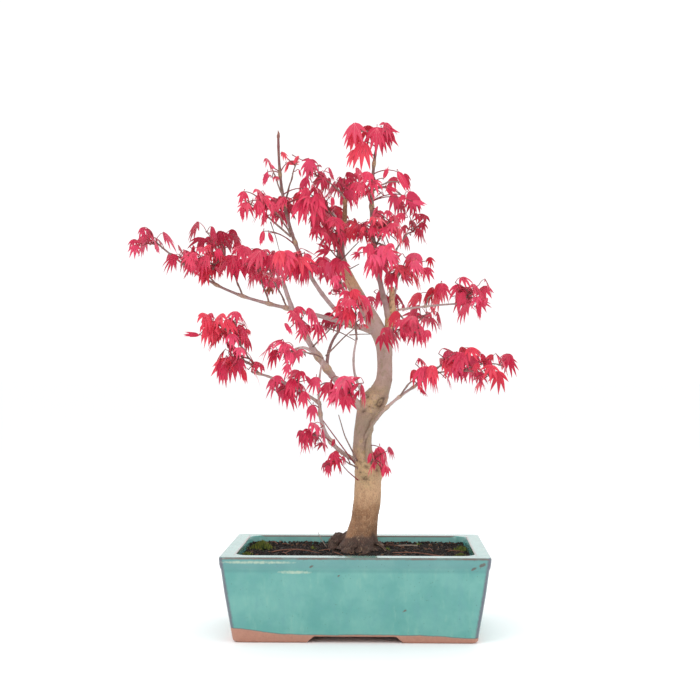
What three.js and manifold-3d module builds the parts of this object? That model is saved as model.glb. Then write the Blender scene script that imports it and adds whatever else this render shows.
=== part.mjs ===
// A bonsai Japanese maple in red leaf, in a rectangular glazed pot on four corner feet.
// Millimetres, +Z up. X runs along the pot and -Y is its front. The whole is measured from the middle of
// the pot's underside, and the group is moved at the end to put the middle of its box over the origin.
import * as THREE from 'three';
import { mergeVertices } from 'three/addons/utils/BufferGeometryUtils.js';
import Module from 'manifold-3d';

const wasm = await Module();
wasm.setup();

// ---- driving dimensions ----

const gap = 0.3;                 // air between pieces that touch
const seed = 2417;               // starts every mass's own run of random numbers

const potWidth = 291;
const potDepth = 197;
const potHeight = 93.5;
const potCorner = 6;             // radius of the upright edges
const rimBreadth = 16;           // flat top of the wall
const rimBand = 14;              // height of the slightly proud band under the rim
const rimBandProud = 1.4;
const potTaper = 14;             // how far the foot stands in from the rim, each side
const rimEase = 2;               // the rim's outer edge falls away over this height
const rimEaseIn = 1.2;           // and comes in by this
const cavityCorner = 18;
const footHeight = 7;
const footBreadth = 13;          // thickness of the L-shaped foot walls
const frontArch = 88;            // width of the arch between the feet, front and back
const sideArch = 60;
const floorThickness = 9;
const wallFoot = 11;             // wall thickness at the floor
const drainDiameter = 16;
const drainSpacing = 130;

const soilTop = 86;
const soilMound = 2.5;
const moundFoot = 30;            // how far in from the rim the mound starts, and where it levels off
const moundTop = 58;

const flareLobes = 5;            // buttress roots round the foot of the trunk
const flareHeight = 24;
const flareDepth = 0.2;

const leafLength = 36;           // stalk end to the tip of the middle lobe
const leafYoungest = 0.84;       // shortest leaf, as a share of that
const leafOldest = 1.14;         // longest
const leafShare = 0.95;          // longest a leaf may be, as a share of its spray's half width and height
const leafThickness = 0.034;     // shares of the leaf's own length, down to stalkBerth: its thickness,
const thickestAt = 0.17;         // where along the midrib it is thickest,
const stalkLength = 0.42;        // its stalk,
const stalkJoint = 0.12;         // where along the midrib the stalk ends inside it,
const discRadius = 0.54;         // and, for the disc that stands for it in the tests of clearance, the
const discMiddle = 0.48;         // radius, how far its middle lies along the midrib and below it, its
const discDroop = 0.1;           // half thickness, and the share of its radius a stalk mayn't cross
const discDepth = 0.05;
const stalkBerth = 0.8;
const leafPitch = [38, 80];      // degrees a leaf hangs below level
const headingSpread = 1.15;      // radians a leaf may turn off straight to the front or back
const leafRoll = 0.5;            // radians it may roll about its midrib
const stalkSwing = [0.5, 1.8];   // radians between a leaf and its stalk, seen from above
const stalkRise = [0.1, 1];      // radians a stalk rises off level
const leafSlack = [7, 24, 8];    // how far a leaf may stand out of its spray's half sizes
const leafTries = 300;
const frontBand = 15;            // a spray further than this off the middle plane faces its own side only

const stalkRadius = 0.5;
const stalkPoint = 0.05;
const twigRadius = 0.9;
const stemRadius = 1.3;
const stemRun = 3;               // lengths of bare stem below the first leaves
const shootNodes = 3;            // most pairs of leaves on one shoot
const shootRise = 0.1;           // how far a shoot arches up, as a share of its length
const tipLift = 0.3;             // height of a shoot's tip over its spray's middle, of the half height
const tipFan = [0.5, 0.6, 0.35]; // how far the tips fan out, as shares of the spray's half sizes
const goldenShare = 0.618;       // step in lift from one shoot to the next
const nodeInset = 0.02;          // share of a shoot left beyond its last node
const ballSpacing = 7;           // between the balls that stand for a limb in the tests of clearance
const fineness = 0.05;           // details smaller than this are dropped from a joined mass

// Height above the table, lean of the centre line from the pot's middle, and radius of the trunk.
const trunkStations = [
  { height: soilTop + soilMound + gap, lean: [2, 0], radius: 22 },
  { height: 97, lean: [3, 0], radius: 19 },
  { height: 107, lean: [6, 0], radius: 16.8 },
  { height: 122, lean: [9, 0], radius: 15 },
  { height: 145, lean: [12, 1], radius: 15 },
  { height: 165, lean: [13, 2], radius: 15.2 },
  { height: 181, lean: [13, 3], radius: 15.8 },
  { height: 197, lean: [7, 2], radius: 11.2 },
  { height: 216, lean: [7, 0], radius: 10.3 },
  { height: 237, lean: [10, 0], radius: 11 },
  { height: 256, lean: [18, 1], radius: 13.4 },
  { height: 269, lean: [26, 3], radius: 10.4 },
  { height: 282, lean: [31, 4], radius: 9.1 },
  { height: 302, lean: [32, 5], radius: 8.5 },
  { height: 324, lean: [30, 5], radius: 9.5 },
  { height: 347, lean: [19, 4], radius: 9 },
  { height: 370, lean: [6, 3], radius: 7.2 },
  { height: 395, lean: [-8, 2], radius: 6.7 },
  { height: 413, lean: [-16, 2], radius: 6 },
  { height: 431, lean: [-18, 2], radius: 4 },
  { height: 459, lean: [-14, 3], radius: 2.8 },
  { height: 487, lean: [-13, 4], radius: 2.3 },
];

// Each bough leaves the trunk at a height, or another bough at a share of its length. reach runs from
// there to its tip, bow is how far its middle stands off that straight line, and sway is an S-bend.
const boughs = [
  { name: 'left_bough', height: 335, reach: [-261, 31, 107], bow: [-2, 8, -18], sway: [0, 0, 6],
    radius: [3.9, 0.9] },
  { name: 'left_leader', on: 'left_bough', at: 0.12, reach: [-81, -28, 212], bow: [-20, -14, -19],
    radius: [2.7, 0.9] },
  { name: 'steep_left_bough', height: 243, reach: [-92, -46, 147], bow: [-13, -4, -2],
    radius: [4.6, 2.2] },
  { name: 'inner_upright', on: 'steep_left_bough', at: 0.36, reach: [12, 33, 42], bow: [-3, 0, 3],
    radius: [2, 1.4] },
  { name: 'fork_shoot', height: 254, reach: [-16, -49, 72], bow: [-10, -4, -4], radius: [1.8, 1.1] },
  { name: 'right_low_bough', height: 200, reach: [66, -2, 78], bow: [-14, -20, 2],
    radius: [2.3, 1.4] },
  { name: 'left_low_bough', height: 185, reach: [-52, -33, 70], bow: [-14, -6, -8],
    radius: [2.8, 1.9] },
  { name: 'left_low_arm', on: 'left_low_bough', at: 1, reach: [-73, -28, 35], bow: [0, 0, 5],
    radius: [1.8, 1.2] },
  { name: 'left_low_upright', on: 'left_low_bough', at: 0.88, reach: [4, -16, 62], bow: [-3, -3, 0],
    radius: [1.4, 1] },
  { name: 'right_stump', height: 322, reach: [9, -1, 65], bow: [4, -1, 0], radius: [5, 2.6] },
  { name: 'right_leader', on: 'right_stump', at: 0.42, reach: [-14, -8, 205], bow: [-13, -11, 0],
    radius: [3.4, 1.1] },
  { name: 'right_riser', on: 'right_stump', at: 0.72, reach: [5, 14, 62], bow: [4, 2, 0],
    radius: [1.5, 1] },
  { name: 'right_bough', on: 'right_stump', at: 0.58, reach: [77, -4, 8], bow: [0, 0, 1],
    radius: [1.4, 0.9] },
  { name: 'back_right_bough', height: 312, reach: [40, 82, 38], bow: [0, 0, 8], radius: [3, 1.3] },
  { name: 'back_left_bough', height: 395, reach: [-42, 93, 22], bow: [0, 0, 8], radius: [2.6, 1.2] },
  { name: 'back_top_bough', height: 440, reach: [-13, 72, 40], bow: [0, 4, 6], radius: [1.8, 1] },
  { name: 'back_low_bough', on: 'steep_left_bough', at: 0.45, reach: [-42, 88, 2], bow: [0, 0, 10],
    radius: [2.2, 1.1] },
];

// Each mass stands on one stem from its bough or the trunk. Its sprays are the spaces its leaves keep to:
// middle, half width, half depth and half height, and the number of leaves.
const masses = [
  { name: 'mass_top', on: 'right_leader', at: 1, sprays: [
    { middle: [5, -4, 545], half: [20, 20, 26], leaves: 6 },
    { middle: [30, 4, 547], half: [16, 20, 26], leaves: 5 }] },
  { name: 'mass_right_high', on: 'right_leader', at: 0.7, sprays: [
    { middle: [46, 22, 506], half: [13, 12, 16], leaves: 2 },
    { middle: [56, 26, 477], half: [22, 20, 17], leaves: 6 }] },
  { name: 'mass_right_front', on: 'right_leader', at: 0.38, sprays: [
    { middle: [34, -45, 446], half: [19, 16, 21], leaves: 5 },
    { middle: [7, -36, 446], half: [8, 8, 13], leaves: 1 },
    { middle: [25, -78, 407], half: [24, 12, 14], leaves: 3 }] },
  { name: 'mass_right_back', on: 'right_riser', at: 1, sprays: [
    { middle: [68, 60, 451], half: [15, 16, 17], leaves: 4 }] },
  { name: 'mass_right_shoulder', on: 'right_riser', at: 0.5, sprays: [
    { middle: [58, 2, 402], half: [30, 20, 18], leaves: 7 }] },
  { name: 'mass_right_mid', on: 'right_bough', at: 0.5, sprays: [
    { middle: [77, 34, 375], half: [24, 20, 20], leaves: 6 }] },
  { name: 'mass_right_tip', on: 'right_bough', at: 1, sprays: [
    { middle: [127, -3, 371], half: [24, 20, 22], leaves: 7 }] },
  { name: 'mass_trunk_front', on: 'trunk', height: 318, sprays: [
    { middle: [58, -66, 331], half: [30, 20, 26], leaves: 9 }] },
  { name: 'mass_right_low_inner', on: 'right_low_bough', at: 0.78, sprays: [
    { middle: [76, -30, 286], half: [17, 14, 24], leaves: 4 }] },
  { name: 'mass_right_low_tip', on: 'right_low_bough', at: 1, sprays: [
    { middle: [116, 2, 290], half: [22, 20, 24], leaves: 6 },
    { middle: [160, 12, 287], half: [24, 22, 24], leaves: 7 }] },
  { name: 'mass_right_low_back', on: 'right_low_bough', at: 0.93, sprays: [
    { middle: [126, 74, 290], half: [26, 22, 22], leaves: 6 }] },
  { name: 'mass_trunk_side', on: 'trunk', height: 178, sprays: [
    { middle: [27, -42, 192], half: [12, 10, 20], leaves: 3 }] },
  { name: 'mass_trunk_foot', on: 'trunk', height: 168, sprays: [
    { middle: [-26, -22, 184], half: [11, 10, 16], leaves: 3 }] },
  { name: 'mass_left_shoots', on: 'left_low_bough', at: 0.5, sprays: [
    { middle: [-45, -48, 212], half: [23, 14, 16], leaves: 5 }] },
  { name: 'mass_left_low_inner', on: 'left_low_arm', at: 0.4, sprays: [
    { middle: [-73, -24, 269], half: [27, 18, 18], leaves: 6 }] },
  { name: 'mass_fork_front', on: 'fork_shoot', at: 0.45, sprays: [
    { middle: [-13, -72, 260], half: [20, 16, 20], leaves: 4 }] },
  { name: 'mass_left_low_front', on: 'left_low_upright', at: 1, sprays: [
    { middle: [-79, -72, 305], half: [23, 16, 19], leaves: 5 }] },
  { name: 'mass_left_low_tip', on: 'left_low_arm', at: 1, sprays: [
    { middle: [-128, -60, 291], half: [33, 20, 20], leaves: 7 }] },
  { name: 'mass_left_mid', on: 'left_low_arm', at: 0.9, sprays: [
    { middle: [-145, -40, 336], half: [34, 24, 28], leaves: 9 }] },
  { name: 'mass_steep_front', on: 'steep_left_bough', at: 0.62, sprays: [
    { middle: [-53, -88, 336], half: [21, 18, 21], leaves: 6 }] },
  { name: 'mass_inner_back', on: 'inner_upright', at: 1, sprays: [
    { middle: [-30, 56, 350], half: [15, 16, 12], leaves: 4 }] },
  { name: 'mass_bend_front', on: 'fork_shoot', at: 1, sprays: [
    { middle: [-4, -66, 362], half: [20, 14, 23], leaves: 6 },
    { middle: [-18, -50, 391], half: [10, 8, 11], leaves: 2 }] },
  { name: 'mass_bend_back', on: 'back_right_bough', at: 0.7, sprays: [
    { middle: [34, 82, 378], half: [20, 16, 14], leaves: 4 }] },
  { name: 'mass_back_right', on: 'back_right_bough', at: 1, sprays: [
    { middle: [76, 106, 350], half: [26, 22, 24], leaves: 7 }] },
  { name: 'mass_far_left_tip', on: 'left_bough', at: 1, sprays: [
    { middle: [-240, 36, 436], half: [30, 20, 15], leaves: 6 }] },
  { name: 'mass_far_left', on: 'left_bough', at: 0.72, sprays: [
    { middle: [-208, 24, 416], half: [18, 16, 17], leaves: 4 },
    { middle: [-172, 4, 407], half: [31, 22, 23], leaves: 7 }] },
  { name: 'mass_left_upper', on: 'left_bough', at: 0.6, sprays: [
    { middle: [-169, 56, 452], half: [37, 24, 20], leaves: 8 }] },
  { name: 'mass_left_crown', on: 'left_bough', at: 0.48, sprays: [
    { middle: [-116, -4, 416], half: [29, 24, 24], leaves: 9 }] },
  { name: 'mass_left_back', on: 'left_bough', at: 0.4, sprays: [
    { middle: [-112, 84, 408], half: [28, 24, 24], leaves: 7 }] },
  { name: 'mass_left_crown_front', on: 'steep_left_bough', at: 1, sprays: [
    { middle: [-67, -62, 403], half: [26, 16, 20], leaves: 7 }] },
  { name: 'mass_leader_side', on: 'left_leader', at: 0.52, sprays: [
    { middle: [-113, -62, 470], half: [23, 16, 18], leaves: 6 }] },
  { name: 'mass_leader_high', on: 'left_leader', at: 0.7, sprays: [
    { middle: [-83, 2, 480], half: [16, 14, 20], leaves: 4 },
    { middle: [-97, -34, 511], half: [8, 8, 16], leaves: 1 },
    { middle: [-66, -34, 522], half: [13, 8, 8], leaves: 1 }] },
  { name: 'mass_trunk_tip', on: 'trunk', height: 487, sprays: [
    { middle: [-52, 20, 510], half: [25, 16, 14], leaves: 5 },
    { middle: [-17, 32, 498], half: [20, 18, 19], leaves: 6 }] },
  { name: 'mass_centre_right', on: 'right_leader', at: 0.62, sprays: [
    { middle: [13, -36, 495], half: [14, 12, 14], leaves: 3 }] },
  { name: 'mass_centre_left', on: 'trunk', height: 450, sprays: [
    { middle: [-49, -14, 470], half: [25, 20, 26], leaves: 10 }] },
  { name: 'mass_centre_row', on: 'trunk', height: 404, sprays: [
    { middle: [-40, 30, 410], half: [28, 18, 16], leaves: 6 }] },
  { name: 'mass_centre_front', on: 'trunk', height: 424, sprays: [
    { middle: [-31, -38, 439], half: [22, 16, 18], leaves: 6 }] },
  { name: 'mass_centre_back', on: 'back_top_bough', at: 0.6, sprays: [
    { middle: [-9, 62, 452], half: [10, 12, 18], leaves: 3 }] },
  { name: 'mass_back_left', on: 'back_left_bough', at: 1, sprays: [
    { middle: [-52, 112, 414], half: [28, 24, 20], leaves: 7 }] },
  { name: 'mass_back_top', on: 'back_top_bough', at: 1, sprays: [
    { middle: [-38, 92, 478], half: [26, 22, 22], leaves: 7 }] },
];

// ---- finishes ----

const glaze = new THREE.MeshStandardMaterial({ color: 0x75b4aa, roughness: 0.2, metalness: 0 });
const earth = new THREE.MeshStandardMaterial({ color: 0x2b211b, roughness: 0.95, metalness: 0 });
const bark = new THREE.MeshStandardMaterial({ color: 0x8a7263, roughness: 0.85, metalness: 0 });
const foliage = new THREE.MeshStandardMaterial({ color: 0xc8274b, roughness: 0.55, metalness: 0 });

// ---- solids from three.js geometries ----

const vec = (list) => new THREE.Vector3(...list);
const between = ([low, high], share) => low + (high - low) * share;

function solid(geometry) {
  const bare = geometry.clone();
  bare.deleteAttribute('normal');
  bare.deleteAttribute('uv');
  const merged = mergeVertices(bare, 1e-4);
  return new wasm.Manifold(new wasm.Mesh({
    numProp: 3,
    vertProperties: new Float32Array(merged.attributes.position.array),
    triVerts: new Uint32Array(merged.index.array),
  }));
}

function named(name, body, material) {
  const { vertProperties, triVerts } = body.getMesh();
  const geometry = new THREE.BufferGeometry();
  geometry.setAttribute('position', new THREE.BufferAttribute(vertProperties, 3));
  geometry.setIndex(new THREE.BufferAttribute(triVerts, 1));
  const mesh = new THREE.Mesh(geometry, material);
  mesh.name = name;
  return mesh;
}

// Moves every vertex of a geometry to where the function puts it.
function reshape(geometry, place) {
  const position = geometry.attributes.position;
  const vertex = new THREE.Vector3();
  for (let i = 0; i < position.count; i += 1) {
    place(vertex.fromBufferAttribute(position, i));
    position.setXYZ(i, vertex.x, vertex.y, vertex.z);
  }
  return geometry;
}

// A tube along a curve: a closed cylinder's rings are laid on the curve, each at its own radius.
// lobed(turn, share) may swell or pinch a ring. stretch carries both ends a little further.
function tube(curve, steps, sides, radiusAt, { lobed = () => 1, stretch = 0 } = {}) {
  const frames = curve.computeFrenetFrames(steps, false);
  const centres = frames.tangents.map((tangent, ring) => curve.getPointAt(ring / steps));
  centres[0].addScaledVector(frames.tangents[0], -stretch);
  centres[steps].addScaledVector(frames.tangents[steps], stretch);
  return solid(reshape(new THREE.CylinderGeometry(1, 1, 1, sides, steps), (vertex) => {
    const ring = Math.round((0.5 - vertex.y) * steps);
    const turn = Math.atan2(vertex.z, vertex.x);
    const radius = radiusAt(ring / steps) * lobed(turn, ring / steps);
    const [across, along] = [vertex.x * radius, vertex.z * radius];
    vertex.copy(centres[ring]);
    vertex.addScaledVector(frames.normals[ring], across);
    vertex.addScaledVector(frames.binormals[ring], along);
  }));
}

// An upright block with rounded corners whose sides step through stations of height and inset.
function block(width, depth, corner, stations) {
  const [halfWidth, halfDepth] = [width / 2, depth / 2];
  const outline = new THREE.Shape();
  outline.absarc(halfWidth - corner, halfDepth - corner, corner, 0, Math.PI / 2);
  outline.absarc(corner - halfWidth, halfDepth - corner, corner, Math.PI / 2, Math.PI);
  outline.absarc(corner - halfWidth, corner - halfDepth, corner, Math.PI, 1.5 * Math.PI);
  outline.absarc(halfWidth - corner, corner - halfDepth, corner, 1.5 * Math.PI, 2 * Math.PI);
  const steps = stations.length - 1;
  const geometry = new THREE.ExtrudeGeometry(outline, {
    depth: steps, steps, bevelEnabled: false, curveSegments: 3,
  });
  return solid(reshape(geometry, (vertex) => {
    const { height, inset } = stations[Math.round(vertex.z)];
    vertex.x *= 1 - inset / halfWidth;
    vertex.y *= 1 - inset / halfDepth;
    vertex.z = height;
  }));
}

function box(size, middle) {
  return solid(new THREE.BoxGeometry(...size).translate(...middle));
}

// ---- pot ----

// How far the pot's side stands in from its widest, at a height.
const taperAt = (height) => potTaper * (1 - height / potHeight);

function makePot() {
  const bandFoot = potHeight - rimBand;
  const outside = block(potWidth, potDepth, potCorner, [
    { height: 0, inset: taperAt(0) },
    { height: footHeight, inset: taperAt(footHeight) },
    { height: bandFoot - rimBandProud, inset: taperAt(bandFoot) + rimBandProud },
    { height: bandFoot + rimBandProud, inset: taperAt(bandFoot) - rimBandProud / 2 },
    { height: potHeight - rimEase, inset: 0 },
    { height: potHeight, inset: rimEaseIn },
  ]);
  const floorTop = footHeight + floorThickness;
  const cavity = block(potWidth - 2 * rimBreadth, potDepth - 2 * rimBreadth, cavityCorner, [
    { height: floorTop, inset: taperAt(floorTop) + wallFoot - rimBreadth },
    { height: potHeight + 1, inset: 0 },
  ]);
  const frontGap = box([frontArch, potDepth + 2, 2 * footHeight], [0, 0, 0]);
  const sideGap = box([potWidth + 2, sideArch, 2 * footHeight], [0, 0, 0]);
  const underside = box([
    potWidth - 2 * (potTaper + footBreadth),
    potDepth - 2 * (potTaper + footBreadth),
    2 * footHeight,
  ], [0, 0, 0]);
  let pot = outside.subtract(cavity).subtract(frontGap).subtract(sideGap).subtract(underside);
  for (const side of [-1, 1]) {
    const hole = new THREE.CylinderGeometry(drainDiameter / 2, drainDiameter / 2, 4 * floorThickness, 16);
    hole.rotateX(Math.PI / 2).translate(side * drainSpacing / 2, 0, floorTop);
    pot = pot.subtract(solid(hole));
  }
  return pot;
}

// The soil fills the pot to just under its rim and rises a little towards the trunk.
function makeSoil() {
  const floorTop = footHeight + floorThickness;
  const wallAt = (height) => {
    const share = (height - floorTop) / (potHeight - floorTop);
    return (taperAt(floorTop) + wallFoot - rimBreadth) * (1 - share) + gap;
  };
  return block(potWidth - 2 * rimBreadth, potDepth - 2 * rimBreadth, cavityCorner, [
    { height: floorTop + gap, inset: wallAt(floorTop) },
    { height: soilTop - soilMound, inset: wallAt(soilTop) },
    { height: soilTop, inset: moundFoot },
    { height: soilTop + soilMound, inset: moundTop },
  ]);
}

// ---- trunk and boughs ----

// A smooth cubic through the stations, each span shaped by the stations on either side of it.
class TrunkCurve extends THREE.Curve {
  getPoint(share, target = new THREE.Vector3()) {
    const last = trunkStations.length - 1;
    const span = Math.min(Math.floor(share * last), last - 1);
    const part = share * last - span;
    const at = (index) => {
      const { height, lean } = trunkStations[Math.min(Math.max(index, 0), last)];
      return [...lean, height];
    };
    const [before, from, to, after] = [at(span - 1), at(span), at(span + 1), at(span + 2)];
    return target.set(...from.map((value, axis) => {
      const [slopeIn, slopeOut] = [(to[axis] - before[axis]) / 2, (after[axis] - value) / 2];
      const rise = to[axis] - value;
      return value + part * (slopeIn + part * (3 * rise - 2 * slopeIn - slopeOut
        + part * (slopeIn + slopeOut - 2 * rise)));
    }));
  }
}

const trunkCurve = new TrunkCurve();
const trunkSteps = 30;
const trunkSides = 10;
const boughSides = 5;
const boughStep = 20;            // length of one step of a bough's tube
const twigSides = 3;

// The point of the trunk's centre line at a height, found by halving.
function trunkAt(height) {
  let [low, high] = [0, 1];
  for (let i = 0; i < 40; i += 1) {
    const middle = (low + high) / 2;
    if (trunkCurve.getPoint(middle).z < height) low = middle;
    else high = middle;
  }
  return trunkCurve.getPoint(low);
}

function trunkRadius(share) {
  const { z } = trunkCurve.getPointAt(share);
  const above = trunkStations.findIndex(({ height }) => height > z);
  if (above < 1) return trunkStations.at(above).radius;
  const [lower, upper] = [trunkStations[above - 1], trunkStations[above]];
  const part = (z - lower.height) / (upper.height - lower.height);
  return THREE.MathUtils.lerp(lower.radius, upper.radius, part);
}

// Buttress roots swell the foot and die out over flareHeight.
function flare(turn, share) {
  const rise = trunkCurve.getPointAt(share).z - trunkStations[0].height;
  const fade = Math.max(0, 1 - rise / flareHeight);
  return 1 + flareDepth * fade * Math.cos(flareLobes * turn);
}

function makeTrunk(grow) {
  const ground = trunkStations[0].height;
  const radiusAt = (share) => trunkRadius(share) + grow;
  const stem = tube(trunkCurve, trunkSteps, trunkSides, radiusAt, { lobed: flare, stretch: grow });
  const below = box([200, 200, 40], [0, 0, ground - 20 - grow]);
  return stem.subtract(below);
}

class BoughCurve extends THREE.Curve {
  constructor(start, { reach, bow, sway = [0, 0, 0] }) {
    super();
    this.start = start;
    this.reach = vec(reach);
    this.bow = vec(bow);
    this.sway = vec(sway);
  }

  getPoint(share, target = new THREE.Vector3()) {
    return target.copy(this.start)
      .addScaledVector(this.reach, share)
      .addScaledVector(this.bow, 4 * share * (1 - share))
      .addScaledVector(this.sway, Math.sin(2 * Math.PI * share));
  }
}

const curves = { trunk: trunkCurve };
const limbs = {};          // the finished solids
const clearances = [];     // the same limbs grown by the gap, for cutting what meets them
const limbBalls = [];      // balls along every limb: where, and how thick

function place({ on = 'trunk', at, height }) {
  return on === 'trunk' ? trunkAt(height) : curves[on].getPoint(at);
}

function makeBough(bough) {
  const curve = new BoughCurve(place(bough), bough);
  const steps = Math.max(4, Math.round(curve.getLength() / boughStep));
  const radiusAt = (share) => between(bough.radius, share);
  const grown = (grow) => tube(curve, steps, boughSides, (share) => radiusAt(share) + grow,
    { stretch: grow });
  const free = largest(clearances.reduce((rest, limb) => rest.subtract(limb), grown(0)));
  curves[bough.name] = curve;
  limbs[bough.name] = free;
  clearances.push(grown(gap));
  addBalls(curve, ...bough.radius);
}

function largest(body) {
  const pieces = body.decompose();
  return pieces.reduce((best, piece) => (piece.volume() > best.volume() ? piece : best));
}

// ---- masses of leaves ----

function randomFrom(start) {
  let state = start >>> 0;
  return () => {
    state = (state + 0x6d2b79f5) >>> 0;
    let mixed = Math.imul(state ^ (state >>> 15), state | 1);
    mixed = (mixed + Math.imul(mixed ^ (mixed >>> 7), mixed | 61)) ^ mixed;
    return ((mixed ^ (mixed >>> 14)) >>> 0) / 2 ** 32;
  };
}

// Five pointed lobes: the turn of each point of the outline off the midrib in degrees, its distance from
// the stalk as a share of the length, and how far it droops.
const leafOutline = [
  { turn: 180, reach: 0.03, droop: 0 },
  { turn: -84, reach: 0.6, droop: 0.2 },
  { turn: -58, reach: 0.36, droop: 0.04 },
  { turn: -40, reach: 0.9, droop: 0.22 },
  { turn: -18, reach: 0.42, droop: 0.04 },
  { turn: 0, reach: 1, droop: 0.24 },
  { turn: 18, reach: 0.42, droop: 0.04 },
  { turn: 40, reach: 0.9, droop: 0.22 },
  { turn: 58, reach: 0.36, droop: 0.04 },
  { turn: 84, reach: 0.6, droop: 0.2 },
];

// A sphere with two bands is a double pyramid: its rim takes the leaf's outline, its poles the thickness.
function makeBlade({ base, midrib, side, face, size }) {
  const points = leafOutline.length;
  return solid(reshape(new THREE.SphereGeometry(1, points, 2), (vertex) => {
    const pole = Math.abs(vertex.y) > 0.5;
    const index = Math.round(Math.atan2(vertex.z, -vertex.x) / (2 * Math.PI) * points + points) % points;
    const { turn, reach, droop } = leafOutline[index];
    const angle = THREE.MathUtils.degToRad(turn);
    const thick = Math.sign(vertex.y) * leafThickness * size / 2;
    vertex.copy(base)
      .addScaledVector(midrib, size * (pole ? thickestAt : reach * Math.cos(angle)))
      .addScaledVector(side, pole ? 0 : size * reach * Math.sin(angle))
      .addScaledVector(face, pole ? thick : -size * droop);
  }));
}

// A straight stalk, thick at its node and pointed where it ends inside the blade.
function makeStalk({ node, base, midrib, size }) {
  const joint = base.clone().addScaledVector(midrib, stalkJoint * size);
  const radiusAt = (share) => between([stalkRadius, stalkPoint], share);
  return tube(new THREE.LineCurve3(node, joint), 1, twigSides, radiusAt);
}

// The unit vector at a turn about the upright axis and a rise off level.
function direction(turn, rise) {
  return new THREE.Vector3(Math.cos(turn) * Math.cos(rise), Math.sin(turn) * Math.cos(rise), Math.sin(rise));
}

// A leaf hangs from a stalk that rises off its node to one side. For the tests of clearance it is a disc
// with a depth, because its lobes droop.
function tryLeaf(node, facing, hand, { middle, half }, random) {
  const [spread, tilt, growth, lean, swing, rise] = Array.from({ length: 6 }, random);
  const oldest = leafLength * between([leafYoungest, leafOldest], growth);
  const size = Math.min(oldest, leafShare * (half[0] + half[2]));
  const heading = facing * Math.PI / 2 + (2 * spread - 1) * headingSpread;
  const stalkTurn = heading + (hand ? 1 : -1) * between(stalkSwing, swing);
  const stalk = direction(stalkTurn, between(stalkRise, rise));
  const base = node.clone().addScaledVector(stalk, stalkLength * size);
  const midrib = direction(heading, -THREE.MathUtils.degToRad(between(leafPitch, tilt)));
  const side = direction(heading + Math.PI / 2, 0).applyAxisAngle(midrib, (2 * lean - 1) * leafRoll);
  const face = midrib.clone().cross(side);
  const centre = base.clone()
    .addScaledVector(midrib, discMiddle * size)
    .addScaledVector(face, -discDroop * size);
  const radius = discRadius * size;
  const leaf = { node, base, midrib, side, face, size, centre, radius, depth: discDepth * size };
  const inside = ['x', 'y', 'z'].every((axis, i) => {
    const extent = radius * Math.sqrt(1 - face[axis] ** 2);
    return Math.abs(centre[axis] - middle[i]) + extent < half[i] + leafSlack[i];
  });
  return inside ? leaf : null;
}

// Two discs are apart when either lies wholly on one side of the other.
function leavesApart(a, b) {
  const offset = b.centre.clone().sub(a.centre);
  if (offset.length() > a.radius + b.radius) return true;
  const level = Math.abs(a.face.dot(b.face));
  const slope = Math.sqrt(Math.max(0, 1 - level * level));
  return Math.abs(offset.dot(a.face)) > b.radius * slope + a.depth + b.depth * level
    || Math.abs(offset.dot(b.face)) > a.radius * slope + b.depth + a.depth * level;
}

// A ball, such as a slice of a limb, is clear of a leaf's disc.
function ballApart({ centre, face, radius, depth }, point, ball) {
  const offset = point.clone().sub(centre);
  const above = Math.abs(offset.dot(face));
  if (above > ball + depth) return true;
  return Math.sqrt(Math.max(0, offset.lengthSq() - above * above)) > radius + ball;
}

// A stalk misses a disc when both its ends are on one side, or it passes outside the edge.
function stalkMisses({ node, base }, { centre, face, radius }) {
  const [before, after] = [node, base].map((end) => end.clone().sub(centre).dot(face));
  if (before * after > 0) return true;
  const crossing = node.clone().lerp(base, before / (before - after));
  return crossing.distanceTo(centre) > stalkBerth * radius;
}

const leavesSoFar = [];

function leafIsClear(leaf) {
  return leavesSoFar.every((other) => leavesApart(leaf, other)
    && stalkMisses(leaf, other) && stalkMisses(other, leaf))
    && limbBalls.every(({ point, ball }) => ballApart(leaf, point, ball));
}

// Leaves keep clear of the balls along every limb and shoot.
function addBalls(curve, foot, tip) {
  const balls = Math.ceil(curve.getLength() / ballSpacing);
  for (let i = 0; i <= balls; i += 1) {
    limbBalls.push({ point: curve.getPoint(i / balls), ball: between([foot, tip], i / balls) });
  }
}

// A shoot runs from a point of its bough, or of an older shoot, to its tip. Its nodes are the last rings of
// its tube, and each carries an opposite pair of leaves. A leaf that finds no clear place is left out.
function growShoot(from, tip, nodes, run, spray, random) {
  const reach = tip.clone().sub(from);
  const curve = new BoughCurve(from, { reach: reach.toArray(), bow: [0, 0, shootRise * reach.length()] });
  const steps = run + nodes;
  const placed = [];
  addBalls(curve, stemRadius, twigRadius);
  for (let node = 1; node <= nodes; node += 1) {
    const share = (run + node) / steps - (node === nodes ? nodeInset : 0);
    const point = curve.getPointAt(share);
    for (let hand = 0; hand < 2; hand += 1) {
      const facing = Math.abs(spray.middle[1]) > frontBand
        ? Math.sign(spray.middle[1]) : 1 - 2 * ((hand + node) % 2);
      for (let attempt = 0; attempt < leafTries; attempt += 1) {
        const leaf = tryLeaf(point, facing, hand, spray, random);
        if (leaf && leafIsClear(leaf)) {
          leavesSoFar.push(leaf);
          placed.push(leaf);
          break;
        }
      }
    }
  }
  return { curve, steps, placed };
}

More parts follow.
